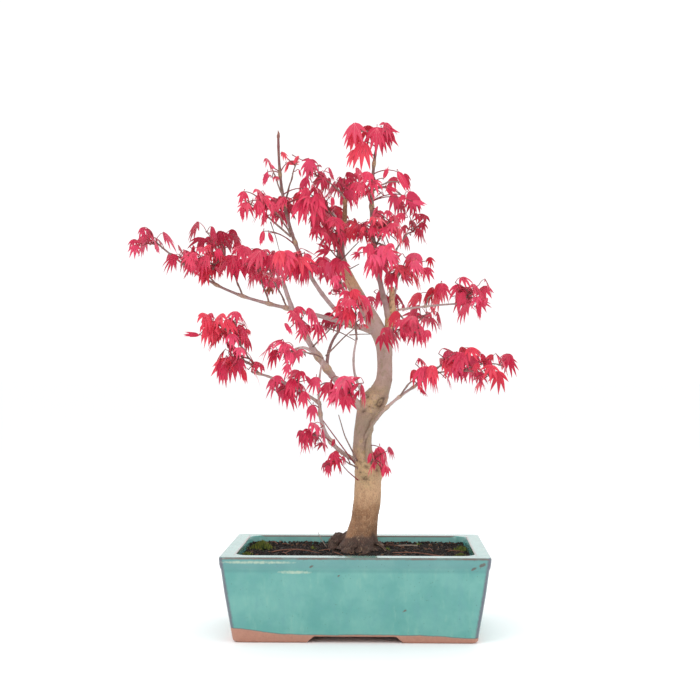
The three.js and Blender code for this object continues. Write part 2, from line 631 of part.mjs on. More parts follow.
// One spray: its first shoot comes from the mass's root or fork, and the others fan out from that one.
function growSpray(spray, from, run, random) {
  const { middle, half, leaves } = spray;
  const turn = random() * 2 * Math.PI;
  const pairs = Math.ceil(leaves / 2);
  const count = Math.ceil(pairs / shootNodes);
  const shoots = [];
  for (let order = 0; order < count; order += 1) {
    const nodes = Math.ceil((pairs - order) / count);
    const angle = turn + order * Math.PI * 2 / count;
    const lift = 2 * ((order * goldenShare + random()) % 1) - 1;
    const tip = new THREE.Vector3(
      middle[0] + half[0] * tipFan[0] * Math.cos(angle),
      middle[1] + half[1] * tipFan[1] * Math.sin(angle),
      middle[2] + half[2] * (tipLift + tipFan[2] * lift),
    );
    const first = shoots[0];
    const start = first ? first.curve.getPointAt(run / first.steps) : from;
    shoots.push(growShoot(start, tip, nodes, first ? 1 : run, spray, random));
  }
  return shoots;
}

const finished = [];       // solids of the masses already made

function boxesMeet(a, b) {
  return a.min.every((low, i) => low <= b.max[i] && b.min[i] <= a.max[i]);
}

// The limbs, grown by the gap, and the finished masses whose boxes meet a body's box.
function neighbours(body) {
  const bounds = body.boundingBox();
  return [...clearances, ...finished].filter((other) => boxesMeet(bounds, other.boundingBox()));
}

function isClear(body) {
  return neighbours(body).every((other) => {
    const shared = body.intersect(other);
    const clear = shared.isEmpty();
    shared.delete();
    return clear;
  });
}

function makeMass(mass, index) {
  const random = randomFrom(seed + 97 * index);
  const root = place(mass);
  const parts = [];
  const shoots = [];
  for (const spray of mass.sprays) {
    const fork = shoots.length ? shoots[0].curve.getPointAt(1 / shoots[0].steps) : root;
    shoots.push(...growSpray(spray, fork, stemRun, random));
  }
  for (const { curve, steps, placed } of shoots) {
    parts.push(tube(curve, steps, twigSides, (share) => between([stemRadius, twigRadius], share)));
    for (const leaf of placed) {
      const stalk = makeStalk(leaf);
      const blade = makeBlade(leaf);
      if (isClear(stalk) && isClear(blade)) parts.push(stalk, blade);
    }
  }
  const joined = wasm.Manifold.union(parts);
  parts.forEach((part) => part.delete());
  const apart = neighbours(joined).reduce((rest, other) => rest.subtract(other), joined);
  const body = largest(apart.simplify(fineness));
  finished.push(body);
  return body;
}

// ---- assembly ----

const plant = new THREE.Group();
plant.add(named('pot', makePot(), glaze));
plant.add(named('soil', makeSoil(), earth));

limbs.trunk = makeTrunk(0);
clearances.push(makeTrunk(gap));
trunkStations.forEach(({ height, lean, radius }, index) => {
  const below = trunkStations[Math.max(index - 1, 0)];
  limbBalls.push({ point: vec([...lean, height]), ball: radius });
  limbBalls.push({ point: trunkAt((height + below.height) / 2), ball: radius });
});
boughs.forEach(makeBough);
for (const [name, body] of Object.entries(limbs)) plant.add(named(name, body, bark));
masses.forEach((mass, index) => plant.add(named(mass.name, makeMass(mass, index), foliage)));

const bounds = new THREE.Box3().setFromObject(plant);
const middle = bounds.getCenter(new THREE.Vector3());
plant.position.set(-middle.x, -middle.y, -bounds.min.z);
plant.updateMatrixWorld(true);

export default plant;
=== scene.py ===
import math

import bmesh
import bpy
import numpy as np
from mathutils import Matrix, Vector, noise


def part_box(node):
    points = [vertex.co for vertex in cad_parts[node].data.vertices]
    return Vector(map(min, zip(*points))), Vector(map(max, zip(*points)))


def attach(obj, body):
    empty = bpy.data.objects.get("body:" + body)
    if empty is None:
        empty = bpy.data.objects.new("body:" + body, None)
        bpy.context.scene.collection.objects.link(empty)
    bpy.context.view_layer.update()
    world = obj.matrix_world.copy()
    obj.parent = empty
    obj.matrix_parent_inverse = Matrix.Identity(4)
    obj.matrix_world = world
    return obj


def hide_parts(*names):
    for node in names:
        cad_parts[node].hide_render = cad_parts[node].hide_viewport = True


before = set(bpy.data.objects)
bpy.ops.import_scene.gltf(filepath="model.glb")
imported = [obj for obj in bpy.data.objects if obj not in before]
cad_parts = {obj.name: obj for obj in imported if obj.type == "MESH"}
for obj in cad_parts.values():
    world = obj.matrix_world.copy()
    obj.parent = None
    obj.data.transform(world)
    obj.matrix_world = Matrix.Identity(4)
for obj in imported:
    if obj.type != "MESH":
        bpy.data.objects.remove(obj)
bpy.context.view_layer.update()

# ---- The room ----
# A white seamless floor under an even white sky, with three large soft lamps. The camera stands level, about
# five pot lengths away and a little to the right, and is turned a degree and a half to the left.

MM = 0.001
pot_low, pot_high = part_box("pot")
pot_middle = Vector(((pot_low.x + pot_high.x) / 2, (pot_low.y + pot_high.y) / 2, 0))
pot_size = (pot_high - pot_low) / MM


def placed(point):
    """A point in millimetres from the middle of the pot's underside, as a place in the frame."""
    return pot_middle + Vector(point) * MM


def tint(red, green, blue):
    """A paint chart's 0 to 255 colour as the plain numbers that a shader takes."""
    def plain(value):
        share = value / 255
        return share / 12.92 if share <= 0.04045 else ((share + 0.055) / 1.055) ** 2.4
    return plain(red), plain(green), plain(blue), 1


def finish_with(name, roughness, base=(0.8, 0.8, 0.8, 1)):
    """A new material, its nodes and its Principled shader."""
    material = bpy.data.materials.new(name)
    material.use_nodes = True
    shader = material.node_tree.nodes["Principled BSDF"]
    shader.inputs["Roughness"].default_value = roughness
    shader.inputs["Base Color"].default_value = base
    return material, material.node_tree, shader


def plain_finish(name, roughness, colour):
    """A new material of one colour."""
    return finish_with(name, roughness, colour)[0]


def piece_from(name, mesh, material, smooth=True):
    """Puts a mesh in the scene as a piece with one material."""
    piece = bpy.data.objects.new(name, mesh)
    bpy.context.scene.collection.objects.link(piece)
    mesh.materials.append(material)
    mesh.polygons.foreach_set("use_smooth", [smooth] * len(mesh.polygons))
    return piece


camera_turn = math.radians(1.5)
camera_distance = 1438
camera_height = 292.4
ahead = Vector((-math.sin(camera_turn), math.cos(camera_turn), 0))
across = Vector((math.cos(camera_turn), math.sin(camera_turn), 0))
camera_data = bpy.data.cameras.new("camera")
camera_data.sensor_width = 36
camera_data.lens = 65.06
camera_data.shift_y = 0.0286
camera = bpy.data.objects.new("camera", camera_data)
camera.location = placed(across * -7.5 - ahead * camera_distance + Vector((0, 0, camera_height)))
camera.rotation_euler = (math.pi / 2, 0, camera_turn)
bpy.context.scene.collection.objects.link(camera)
bpy.context.scene.camera = camera

world = bpy.data.worlds.new("sky")
bpy.context.scene.world = world
world.use_nodes = True
world.node_tree.nodes["Background"].inputs["Color"].default_value = (1, 1, 1, 1)
world.node_tree.nodes["Background"].inputs["Strength"].default_value = 1.07
bpy.context.scene.view_settings.view_transform = "Standard"

bm = bmesh.new()
bmesh.ops.create_grid(bm, x_segments=1, y_segments=1, size=30)
floor_mesh = bpy.data.meshes.new("floor")
bm.to_mesh(floor_mesh)
bm.free()
floor_paint = plain_finish("floor_paint", 0.7, (0.93, 0.95, 0.96, 1))
floor = piece_from("floor", floor_mesh, floor_paint)


def lamp(name, place, size, watts):
    """A square soft lamp in millimetres, aimed at the middle of the tree."""
    data = bpy.data.lights.new(name, "AREA")
    data.size = size * MM
    data.energy = watts
    light = bpy.data.objects.new(name, data)
    light.location = placed(place)
    light.rotation_euler = (placed((0, 0, 250)) - light.location).to_track_quat("-Z", "Y").to_euler()
    bpy.context.scene.collection.objects.link(light)


lamp("key_lamp", (-900, -1100, 1500), 1100, 11)
lamp("fill_lamp", (1200, -900, 900), 1000, 4)
lamp("back_lamp", (300, 1300, 1300), 1000, 6)

# ---- Pot ----
# A moulded stoneware pot dipped in a blue-green glaze that breaks brown where it thins over the edges.
# The dip stops short of the feet in a wavy line, and leaves the bare clay showing there.

rim_breadth = 16
outer_corner = 6
inner_corner = 18
band_height = 14
foot_taper = 14
foot_height = 7
foot_breadth = 13
pot_floor = 16
drain_hole = 16
drain_spacing = 130
edge_radius = 1.1


def plate(bm, width, depth, corner, height):
    """A level rounded rectangle of one face."""
    turned = Matrix.Rotation(math.pi / 4, 4, "Z")
    made = bmesh.ops.create_circle(bm, cap_ends=True, segments=4, radius=1, matrix=turned)
    bmesh.ops.scale(bm, vec=(width / math.sqrt(2), depth / math.sqrt(2), 1), verts=made["verts"])
    bmesh.ops.translate(bm, vec=(0, 0, height), verts=made["verts"])
    face = made["verts"][0].link_faces[0]
    before = set(bm.faces) - {face}
    bmesh.ops.bevel(bm, geom=made["verts"], offset=corner, offset_type="OFFSET", affect="VERTICES",
                    segments=7, profile=0.5, material=-1)
    return (set(bm.faces) - before).pop()


def raised(bm, face, size, height):
    """Extrudes a level face to a height, at a new width and depth, and returns the new face."""
    xs = [v.co.x for v in face.verts]
    ys = [v.co.y for v in face.verts]
    now = (max(xs) - min(xs), max(ys) - min(ys))
    rise = height - face.verts[0].co.z
    made = bmesh.ops.extrude_face_region(bm, geom=[face])["geom"]
    bmesh.ops.delete(bm, geom=[face], context="FACES_ONLY")
    verts = [item for item in made if isinstance(item, bmesh.types.BMVert)]
    bmesh.ops.scale(bm, vec=(size[0] / now[0], size[1] / now[1], 1), verts=verts)
    bmesh.ops.translate(bm, vec=(0, 0, rise), verts=verts)
    return [item for item in made if isinstance(item, bmesh.types.BMFace)][0]


def pot_side(height, proud=0):
    """Width and depth of the pot outside at a height."""
    inset = foot_taper * (1 - height / pot_size.z) - proud
    return pot_size.x - 2 * inset, pot_size.y - 2 * inset


bm = bmesh.new()
face = plate(bm, *pot_side(0, -2.4), outer_corner, 0)
band_foot = pot_size.z - band_height
# height, and how far the wall stands proud of its straight taper there
wall_stations = [(0.9, -0.8), (2.6, 0), (foot_height, 0), (30, 0.3), (55, 0.5), (band_foot - 2.5, 0),
                 (band_foot, 0), (band_foot + 2.5, 0.6), (band_foot + 6, 0.7)]
for height, proud in wall_stations:
    face = raised(bm, face, pot_side(height, proud), height)
face = raised(bm, face, (pot_size.x, pot_size.y), pot_size.z - 2)
face = raised(bm, face, (pot_size.x - 1.6, pot_size.y - 1.6), pot_size.z)
outer_loop = list(face.edges)
bmesh.ops.delete(bm, geom=[face], context="FACES_ONLY")
inner = (pot_size.x - 2 * rim_breadth, pot_size.y - 2 * rim_breadth)
face = plate(bm, *inner, inner_corner, pot_size.z)
inner_loop = list(face.edges)
face = raised(bm, face, (inner[0] - 3, inner[1] - 3), pot_size.z - 4)
face = raised(bm, face, (inner[0] - 14, inner[1] - 14), pot_floor)
bmesh.ops.bridge_loops(bm, edges=outer_loop + inner_loop)
bmesh.ops.holes_fill(bm, edges=[edge for edge in bm.edges if edge.is_boundary], sides=0)
bmesh.ops.recalc_face_normals(bm, faces=bm.faces)
bmesh.ops.scale(bm, vec=(MM, MM, MM), verts=bm.verts)
bmesh.ops.translate(bm, vec=pot_middle, verts=bm.verts)
pot_mesh = bpy.data.meshes.new("pot_shell")
bm.to_mesh(pot_mesh)
bm.free()


def cutter_from(bm):
    """A block of clay to take out of the pot, from millimetres."""
    bmesh.ops.scale(bm, vec=(MM, MM, MM), verts=bm.verts)
    bmesh.ops.translate(bm, vec=pot_middle, verts=bm.verts)
    mesh = bpy.data.meshes.new("cutter")
    bm.to_mesh(mesh)
    bm.free()
    cutter = bpy.data.objects.new("cutter", mesh)
    bpy.context.scene.collection.objects.link(cutter)
    return cutter


def drain_cutter(side):
    """A round bar through the pot's floor, left or right of its middle."""
    bm = bmesh.new()
    bmesh.ops.create_cone(bm, cap_ends=True, segments=32, radius1=drain_hole / 2, radius2=drain_hole / 2,
                          depth=3 * pot_floor)
    bmesh.ops.translate(bm, vec=(side * drain_spacing / 2, 0, pot_floor / 2), verts=bm.verts)
    return cutter_from(bm)


def foot_cutter(half, slope, along):
    """A block whose ends slope out downwards, for the gaps between the feet."""
    bm = bmesh.new()
    bmesh.ops.create_cube(bm, size=2)
    for vert in bm.verts:
        low = vert.co.z < 0
        vert.co.z = -foot_height if low else foot_height
        end = half[along] + (2 * slope if low else 0)
        vert.co[along] = math.copysign(end, vert.co[along])
        vert.co[1 - along] = math.copysign(half[1 - along], vert.co[1 - along])
    return cutter_from(bm)


glaze, tree, shader = finish_with("glaze_over_clay", 0.2)
shader.inputs["Coat Weight"].default_value = 0.6
shader.inputs["Coat Roughness"].default_value = 0.06
pot = piece_from("glazed_pot", pot_mesh, glaze)
hollow = (pot_size.x / 2 - foot_taper - foot_breadth, pot_size.y / 2 - foot_taper - foot_breadth)
cutters = [
    foot_cutter((44, pot_size.y), 8, 0),
    foot_cutter((pot_size.x, 30), 6, 1),
    foot_cutter(hollow, 0, 0),
    drain_cutter(-1),
    drain_cutter(1),
]
for cutter in cutters:
    cut = pot.modifiers.new("cut", "BOOLEAN")
    cut.operation = "DIFFERENCE"
    cut.solver = "EXACT"
    cut.object = cutter
ready = bpy.context.evaluated_depsgraph_get()
cut_mesh = bpy.data.meshes.new_from_object(pot.evaluated_get(ready))
pot.modifiers.clear()
pot.data = cut_mesh
for cutter in cutters:
    bpy.data.objects.remove(cutter)
cut_mesh.polygons.foreach_set("use_smooth", [True] * len(cut_mesh.polygons))
soft_edge = pot.modifiers.new("soft_edge", "BEVEL")
soft_edge.width = edge_radius * MM
soft_edge.segments = 3
soft_edge.limit_method = "ANGLE"
soft_edge.angle_limit = math.radians(28)
soft_edge.harden_normals = True


class Shading:
    """Short ways to lay nodes into one material or group. A plain number may stand for any input."""

    def __init__(self, tree):
        self.nodes = tree.nodes
        self.links = tree.links

    def fill(self, socket, value):
        if isinstance(value, bpy.types.NodeSocket):
            self.links.new(value, socket)
        else:
            socket.default_value = value

    def maths(self, operation, first, second=0.0, third=0.0):
        node = self.nodes.new("ShaderNodeMath")
        node.operation = operation
        for socket, value in zip(node.inputs, (first, second, third)):
            self.fill(socket, value)
        return node.outputs[0]

    def plus(self, first, second):
        return self.maths("ADD", first, second)

    def minus(self, first, second):
        return self.maths("SUBTRACT", first, second)

    def times(self, first, second):
        return self.maths("MULTIPLY", first, second)

    def scaled(self, value, factor, offset):
        return self.maths("MULTIPLY_ADD", value, factor, offset)

    def positive(self, value):
        return self.maths("ABSOLUTE", value)

    def greater(self, first, second):
        return self.maths("MAXIMUM", first, second)

    def ramp(self, value, low, high):
        """0 below low and 1 above high, eased between; low above high turns it round."""
        node = self.nodes.new("ShaderNodeMapRange")
        node.interpolation_type = "SMOOTHSTEP"
        turned = low > high
        self.fill(node.inputs["Value"], value)
        node.inputs["From Min"].default_value = min(low, high)
        node.inputs["From Max"].default_value = max(low, high)
        node.inputs["To Min"].default_value = 1.0 if turned else 0.0
        node.inputs["To Max"].default_value = 0.0 if turned else 1.0
        return node.outputs[0]

    def mix(self, share, first, second):
        node = self.nodes.new("ShaderNodeMix")
        node.data_type = "RGBA"
        for name, value in (("Factor", share), ("A", first), ("B", second)):
            socket = [s for s in node.inputs if s.name == name and s.enabled][0]
            self.fill(socket, value)
        return [s for s in node.outputs if s.enabled][0]

    def noise(self, vector, scale, detail=4.0, roughness=0.55):
        node = self.nodes.new("ShaderNodeTexNoise")
        self.links.new(vector, node.inputs["Vector"])
        node.inputs["Scale"].default_value = scale
        node.inputs["Detail"].default_value = detail
        node.inputs["Roughness"].default_value = roughness
        return node.outputs["Fac"]

    def cells(self, vector, scale):
        """Distance from the nearest of many scattered points."""
        node = self.nodes.new("ShaderNodeTexVoronoi")
        self.links.new(vector, node.inputs["Vector"])
        node.inputs["Scale"].default_value = scale
        return node.outputs["Distance"]

    def stretched(self, vector, scale, shift=(0, 0, 0)):
        node = self.nodes.new("ShaderNodeMapping")
        self.links.new(vector, node.inputs["Vector"])
        node.inputs["Scale"].default_value = scale
        node.inputs["Location"].default_value = shift
        return node.outputs[0]

    def object_place(self):
        return self.nodes.new("ShaderNodeTexCoord").outputs["Object"]

    def own(self, name, socket="Fac"):
        node = self.nodes.new("ShaderNodeAttribute")
        node.attribute_name = name
        return node.outputs[socket]

    def bump(self, height, strength, distance):
        node = self.nodes.new("ShaderNodeBump")
        node.inputs["Strength"].default_value = strength
        node.inputs["Distance"].default_value = distance
        self.links.new(height, node.inputs["Height"])
        return node.outputs[0]


make = Shading(tree)
# millimetres from the middle of the pot's underside
where = make.stretched(make.object_place(), (1 / MM, 1 / MM, 1 / MM), -pot_middle / MM)
axes = make.nodes.new("ShaderNodeSeparateXYZ")
make.links.new(where, axes.inputs[0])
x, y, z = axes.outputs
side_inset = make.scaled(z, -foot_taper / pot_size.z, foot_taper)
in_from_end = make.minus(pot_size.x / 2, make.plus(make.positive(x), side_inset))
in_from_face = make.minus(pot_size.y / 2, make.plus(make.positive(y), side_inset))
furthest_in = make.greater(in_from_end, in_from_face)
nearest_in = make.maths("MINIMUM", in_from_end, in_from_face)
fine_wobble = make.noise(where, 0.35, 3)
broad_wobble = make.noise(where, 0.035, 3)
fine_shift = make.scaled(fine_wobble, 2.4, -1.2)
# the glaze thins purplish at the upright corners and brown along both edges of the rim
corner_break = make.ramp(make.plus(furthest_in, fine_shift), 5.8, 2.2)
lip = make.minus(pot_size.z, z)
worn = make.ramp(make.noise(where, 0.06, 3), 0.36, 0.56)
lip_edge = make.plus(lip, make.times(fine_shift, 0.6))
lip_break = make.times(make.ramp(lip_edge, 2.9, 1.5), make.ramp(nearest_in, 1.6, 0.7))
lip_break = make.times(lip_break, make.scaled(worn, 0.35, 0.65))
inner_edge = make.positive(make.minus(nearest_in, rim_breadth - 0.4))
inner_break = make.times(make.ramp(inner_edge, 1.3, 0.6), make.ramp(lip, 2.6, 1.2))
rim_break = make.greater(lip_break, inner_break)
# the band under the lip is painted darker and greyer, painted shade standing in for a cove there, and its
# glaze is bluer; the glaze pools at the band's foot
band_shade_and_blue = make.times(make.ramp(lip, 17, 9), make.ramp(nearest_in, 3, 1.5))
pooled = make.ramp(make.positive(make.minus(lip, 15)), 3.0, 0.2)
streaked = make.noise(make.stretched(where, (1, 1, 0.3)), 0.11, 5, 0.65)
dark_runs = make.times(make.ramp(streaked, 0.46, 0.76), 0.6)
pale_runs = make.times(make.ramp(streaked, 0.46, 0.26), 0.28)
glaze_green = make.mix(make.ramp(broad_wobble, 0.3, 0.7), tint(78, 148, 141), tint(98, 161, 152))
glaze_green = make.mix(dark_runs, glaze_green, tint(84, 146, 146))
glaze_green = make.mix(pale_runs, glaze_green, tint(128, 176, 160))
# painted shade darkens the band under the lip, mixed with its real bluer glaze
glaze_green = make.mix(make.times(band_shade_and_blue, 0.55), glaze_green, tint(84, 132, 134))
glaze_green = make.mix(make.times(pooled, 0.3), glaze_green, tint(60, 124, 124))
speck = make.ramp(make.cells(where, 0.26), 0.17, 0.07)
speck = make.times(speck, make.ramp(make.noise(where, 0.08, 2), 0.48, 0.58))
glaze_green = make.mix(make.times(speck, 0.6), glaze_green, tint(52, 88, 84))
fine_speck = make.ramp(make.noise(where, 1.3, 3, 0.7), 0.6, 0.74)
glaze_green = make.mix(make.times(fine_speck, 0.28), glaze_green, tint(58, 118, 118))
glazed = make.mix(make.times(corner_break, 0.85), glaze_green, tint(80, 68, 88))
glazed = make.mix(make.times(rim_break, 0.85), glazed, tint(98, 70, 62))
# two painted highlights, long cream streaks near the front lip's left end, where its edges would catch the
# light
painted_highlight_streaks = [(-104, 88.2, 44, 1.7), (-64, 77.6, 20, 1.9)]
for streak_x, streak_z, long, thin in painted_highlight_streaks:
    along_streak = make.maths("DIVIDE", make.minus(x, streak_x), long)
    above_streak = make.maths("DIVIDE", make.minus(z, streak_z), thin)
    off_streak = make.plus(make.times(along_streak, along_streak), make.times(above_streak, above_streak))
    highlight_mask = make.ramp(make.scaled(fine_wobble, 2.2, off_streak), 2.3, 0.9)
    highlight_mask = make.times(highlight_mask, make.ramp(y, -80, -90))
    # painted highlight: cream mixed into the glaze along each streak
    glazed = make.mix(make.times(highlight_mask, 0.5), glazed, tint(200, 208, 178))
# two chips by the right end of the front lip, and three pinholes, all long marks that lean
glaze_marks = [((135, -97, 86), 2.4), ((126, -97, 82), 2.0), ((-46, -97.5, 84), 1.4), ((-17, -96, 74), 1.2),
               ((53, -90, 36), 1.4)]
mark_lean = math.radians(28)
marks = None
leaning = make.nodes.new("ShaderNodeVectorRotate")
leaning.rotation_type = "Y_AXIS"
leaning.inputs["Angle"].default_value = mark_lean
make.links.new(where, leaning.inputs["Vector"])
long_place = make.stretched(leaning.outputs[0], (0.5, 0.5, 1))
lean = Matrix.Rotation(mark_lean, 3, "Y")
for spot, size in glaze_marks:
    near = make.nodes.new("ShaderNodeVectorMath")
    near.operation = "DISTANCE"
    make.links.new(long_place, near.inputs[0])
    turned_spot = lean @ Vector(spot)
    near.inputs[1].default_value = (turned_spot.x * 0.5, turned_spot.y * 0.5, turned_spot.z)
    spot_mask = make.ramp(make.plus(near.outputs["Value"], fine_shift), size, size * 0.5)
    marks = spot_mask if marks is None else make.greater(marks, spot_mask)
glazed = make.mix(make.times(marks, 0.85), glazed, tint(84, 72, 64))
# the dip line over the feet
line = make.scaled(make.ramp(x, -62, -136), 7.6, 8.6)
line = make.plus(line, make.times(make.ramp(x, 60, 128), -2.6))
line = make.plus(line, make.times(make.minus(broad_wobble, 0.5), 4.0))
line = make.plus(line, make.times(fine_shift, 0.25))
above = make.minus(z, line)
bare = make.ramp(above, 0.35, -0.35)
# the underside and the drain holes are wiped clean of glaze before the firing
underneath = make.times(make.ramp(nearest_in, 1.6, 3), make.ramp(z, pot_floor - 0.5, pot_floor - 1.5))
bare = make.greater(bare, underneath)
seam = make.ramp(make.positive(above), 1.3, 0.4)
clay = make.mix(make.noise(where, 0.25, 5, 0.7), tint(150, 98, 80), tint(186, 134, 112))
colour = make.mix(make.times(seam, 0.7), glazed, tint(92, 74, 70))
colour = make.mix(bare, colour, clay)
make.links.new(colour, shader.inputs["Base Color"])
rough = make.plus(make.times(bare, 0.55), make.scaled(fine_wobble, 0.12, 0.16))
make.links.new(make.plus(rough, make.times(marks, 0.3)), shader.inputs["Roughness"])
ripple = make.plus(make.times(broad_wobble, 1.6), make.times(make.noise(where, 0.09, 2), 0.6))
pitted = make.times(make.times(make.noise(where, 1.1, 5, 0.7), bare), 0.6)
height = make.minus(make.plus(ripple, pitted), make.times(marks, 0.5))
make.links.new(make.bump(height, 0.55, 0.9 * MM), shader.inputs["Normal"])
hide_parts("pot")
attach(pot, "root")

# ---- Soil ----
# Dark bonsai soil, watered and sunk a little under the rim, with bark crumbs, grit and a few stalks on it.
# Moss has taken hold in the two end corners.

soil_half = (129.5, 82.5)
soil_finish, tree, shader = finish_with("damp_soil", 0.95)
make = Shading(tree)
where = make.object_place()
lumps = make.noise(where, 260, 6, 0.7)
soil_colour = make.mix(make.ramp(lumps, 0.35, 0.7), tint(15, 10, 7), tint(36, 26, 19))
make.links.new(soil_colour, shader.inputs["Base Color"])
make.links.new(make.bump(lumps, 1.0, 2.5 * MM), shader.inputs["Normal"])
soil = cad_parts["soil"]
soil.data.materials.clear()
soil.data.materials.append(soil_finish)

chance = np.random.default_rng(11)


def soil_level(x, y):
    """Height of the soil at a place, rising from the wall to the foot of the tree."""
    inset = min(soil_half[0] - abs(x), soil_half[1] - abs(y))
    return float(np.interp(inset, [0, 30, 58], [86, 86, 88.5]))


def mesh_of(name, points, faces):
    """A mesh from millimetre points of the tree's own measure."""
    mesh = bpy.data.meshes.new(name)
    points = np.asarray(points, float) * MM + np.array(pot_middle)
    mesh.from_pydata(points.tolist(), [], faces)
    mesh.update()
    return mesh


class Heap:
    """Gathers many small shapes that become one mesh."""

    def __init__(self):
        self.points = []
        self.faces = []
        self.count = 0

    def add(self, points, faces):
        self.points.append(np.asarray(points, float))
        self.faces.extend([tuple(corner + self.count for corner in face) for face in faces])
        self.count += len(points)

    def piece(self, name, material, smooth=True):
        mesh = mesh_of(name, np.concatenate(self.points), self.faces)
        return piece_from(name, mesh, material, smooth)


def unit_ball(divisions):
    """Points and faces of a small ball to copy from."""
    bm = bmesh.new()
    bmesh.ops.create_icosphere(bm, subdivisions=divisions, radius=1)
    points = np.array([v.co[:] for v in bm.verts])
    faces = [tuple(v.index for v in f.verts) for f in bm.faces]
    bm.free()
    return points, faces


def turned_at_random(points):
    """Points turned about the origin by any angle round any axis."""
    spin = Matrix.Rotation(chance.uniform(0, 6.28), 3, Vector(chance.normal(size=3)).normalized())
    return points @ np.array(spin)


ball_points, ball_faces = unit_ball(1)
# name, colour, roughness, how many, least and greatest size
crumb_kinds = [
    ("soil_crumbs", tint(22, 15, 11), 0.95, 3000, (0.7, 1.9)),
    ("bark_crumbs", tint(50, 34, 25), 0.9, 1200, (0.6, 1.6)),
    ("grit", tint(104, 88, 72), 0.8, 120, (0.4, 0.9)),
]
for name, colour, roughness, count, (smallest, largest) in crumb_kinds:
    heap = Heap()
    for _ in range(count):
        px = chance.uniform(-1, 1) * (soil_half[0] - 4)
        py = chance.uniform(-1, 1) * (soil_half[1] - 4)
        size = chance.uniform(smallest, largest) * chance.uniform(0.7, 1, 3)
        shape = turned_at_random(ball_points * (1 + 0.25 * chance.normal(size=(len(ball_points), 1))) * size)
        heap.add(shape + (px, py, soil_level(px, py) + 0.25 * size[2]), ball_faces)
    crumb_finish = plain_finish(name + "_finish", roughness, colour)
    crumbs = heap.piece(name, crumb_finish, smooth=False)
    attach(crumbs, "root")

# Moss stands in tufts of short pointed shoots.
# middle of the tuft, its spread, how many shoots, their height
moss_tufts = [((-110, 20), 15, 700, 7.2), ((-112, 52), 10, 300, 5.0), ((-121, -30), 8, 160, 3.6),
              ((119, 8), 11, 360, 5.2), ((116, -34), 8, 160, 3.4), ((72, 50), 7, 80, 3.0),
              ((-50, 0), 4, 50, 3.4), ((35, -4), 4, 50, 3.4)]
spike = np.array([(1, 0, 0), (-0.5, 0.87, 0), (-0.5, -0.87, 0), (0, 0, 1)])
spike_faces = [(0, 1, 3), (1, 2, 3), (2, 0, 3), (0, 2, 1)]
for name, colour, chosen in [("moss_bright", tint(122, 128, 48), 0), ("moss_dark", tint(54, 70, 30), 1)]:
    heap = Heap()
    for (mx, my), spread, count, tall in moss_tufts:
        for number in range(count):
            away = chance.normal(size=2) * spread * 0.42
            lean = chance.normal(size=2) * 0.9
            if number % 2 != chosen:
                continue
            px, py = np.clip([mx + away[0], my + away[1]], [-126, -79], [126, 79])
            hump = max(0.0, 1 - float(np.hypot(*away)) / spread)
            up = tall * (0.35 + 0.65 * hump) * chance.uniform(0.6, 1.1)
            shape = spike * (0.42, 0.42, up)
            shape[3, :2] += lean
            heap.add(shape + (px, py, soil_level(px, py) + tall * 0.45 * hump), spike_faces)
    moss_finish = plain_finish(name + "_finish", 0.9, colour)
    moss = heap.piece(name, moss_finish, smooth=False)
    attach(moss, "root")


def frames_along(centres):
    """A normal and a binormal for each point of a line, carried along it without twisting."""
    centres = np.asarray(centres, float)
    runs = np.gradient(centres, axis=0)
    runs /= np.linalg.norm(runs, axis=1)[:, None]
    normal = np.array((1.0, 0, 0)) if abs(runs[0][0]) < 0.8 else np.array((0, 1.0, 0))
    normals = []
    for run in runs:
        normal = normal - run * float(normal @ run)
        normal = normal / np.linalg.norm(normal)
        normals.append(normal)
    normals = np.array(normals)
    return normals, np.cross(runs, normals)


def thin_tube(centres, radii, sides):
    """Points and faces of a closed tube, for twigs and stalks that are joined by the hundred."""
    centres = np.asarray(centres, float)
    normals, binormals = frames_along(centres)
    turns = np.arange(sides) * 2 * math.pi / sides
    ring = (np.cos(turns)[None, :, None] * normals[:, None, :]
            + np.sin(turns)[None, :, None] * binormals[:, None, :])
    points = (centres[:, None, :] + ring * np.asarray(radii, float)[:, None, None]).reshape(-1, 3)
    faces = []
    for step in range(len(centres) - 1):
        for side in range(sides):
            after = (side + 1) % sides
            low, high = step * sides, (step + 1) * sides
            faces.append((low + side, low + after, high + after, high + side))
    faces.append(tuple(reversed(range(sides))))
    faces.append(tuple(range(len(points) - sides, len(points))))
    return points, faces


def bent(start, end, bow, steps):
    """Points of an arc between two ends whose middle stands off by bow."""
    start, end, bow = (np.asarray(p, float) for p in (start, end, bow))
    shares = np.linspace(0, 1, steps + 1)[:, None]
    return start + (end - start) * shares + bow * 4 * shares * (1 - shares)


# Flakes of bark and old leaf.
heap = Heap()
flake_count = 150
box_faces = [(3, 2, 1, 0), (4, 5, 6, 7), (0, 1, 5, 4), (1, 2, 6, 5), (2, 3, 7, 6), (3, 0, 4, 7)]
for _ in range(flake_count):
    px, py = chance.uniform(-122, 122), chance.uniform(-76, 76)
    long, wide = chance.uniform(2, 6), chance.uniform(0.8, 2.2)
    flake = turned_at_random(np.array([(-long / 2, -wide / 2, 0), (long / 2, -wide / 2, 0.3),
                                       (long / 2, wide / 2, 0), (-long / 2, wide / 2, 0.3)])) * (1, 1, 0.35)
    thick = np.concatenate([flake, flake + (0, 0, 0.25)])
    heap.add(thick + (px, py, soil_level(px, py) + 1.6), box_faces)
litter_finish = plain_finish("litter_finish", 0.85, tint(96, 68, 46))
litter = heap.piece("leaf_litter", litter_finish, smooth=False)
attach(litter, "root")

